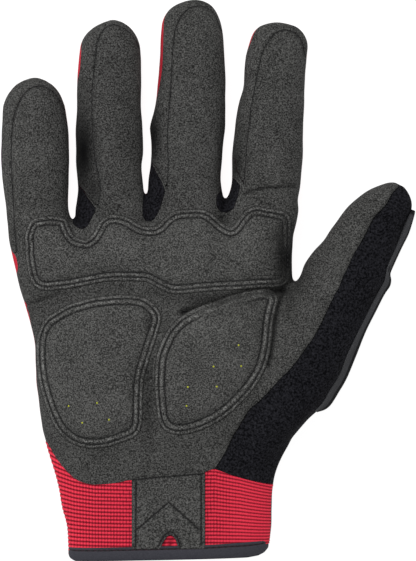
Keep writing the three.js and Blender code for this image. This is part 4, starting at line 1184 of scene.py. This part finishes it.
KNUCKLE_CORNER, FINGER_CORNER = 0.0016, 0.0032


def on_plate(shares):
    """Shares of the palm's width and length as metres on its back."""
    p = np.asarray(shares, float)
    return np.stack([p[:, 0] * PLATE_WIDE + PLATE_MIDDLE[0], PLATE_MIDDLE[1] - p[:, 1] * PLATE_TALL], -1)


def moulded_plate(name, outline, corner, bumps):
    """A bevelled plate on the glove's back inside an outline, down to the table where its height reaches."""
    grid, triangles = plan_grid(inset_line(outline, corner), corner, GUARD_GRID)
    back = []
    for x, y in grid[:, :2]:
        hit = skin_tree.ray_cast(Vector((x, y, -0.05)), Vector((0, 0, 1)))[0]
        back.append(hit.z if hit else SEAM_Z)
    back = np.minimum(back, SEAM_Z - 0.001)
    inside = (grid[:, 2] + corner) / MM
    bevel = 1 - np.clip(1 - inside / 1.4, 0, 1) ** 2
    under = np.maximum(back - (0.6 + bevel * bumps(grid[:, :2])) * MM, 0.0001 + 0.0012 * (1 - bevel))
    upper = np.maximum(back + 0.0008, under + 0.001)
    plate = closed_patch(f"{name}_plate", grid[:, :2], triangles, upper, under)
    smooth(plate, 40)
    dress(plate, guard_rubber, [name])


def knuckle_bumps(points):
    """How far the knuckle guard stands out in mm: low domes, each with a fine groove round it."""
    away = np.array([np.hypot(*((points - dome) / DOME_SIZE).T) for dome in on_plate(KNUCKLE_DOMES)])
    grooves = np.exp(-((np.abs(away - DOME_EDGE).min(0) / 0.06) ** 2))
    return 2.0 + 2.4 * np.exp(-(away**3)).max(0) - 0.8 * grooves


def finger_bumps(points):
    """The same for a finger's guard, which is flat with two grooves across it."""
    long = np.ptp(points[:, 1])
    along = (points[:, 1] - points[:, 1].min()) / long
    grooves = np.max([np.exp(-(((along - at) * long / 0.0008) ** 2)) for at in FINGER_GROOVES], axis=0)
    return 3.4 - 1.5 * grooves


plate_line = smooth_line(on_plate(KNUCKLE_PLATE), 0.0008, closed=True)
moulded_plate("knuckle_guard", plate_line, KNUCKLE_CORNER, knuckle_bumps)
for name in sorted(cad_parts):
    if "guard_near" in name or "guard_far" in name:
        node = bpy.data.objects[name]
        spots = [(node.matrix_world @ vertex.co)[:2] for vertex in node.data.vertices]
        corners = np.array([spots[i] for i in convex_hull_2d(spots)])
        edge = np.vstack([a + (b - a) * np.linspace(0, 1, 30, endpoint=False)[:, None]
                          for a, b in zip(corners, np.roll(corners, -1, 0))])
        moulded_plate(name, edge, FINGER_CORNER, finger_bumps)
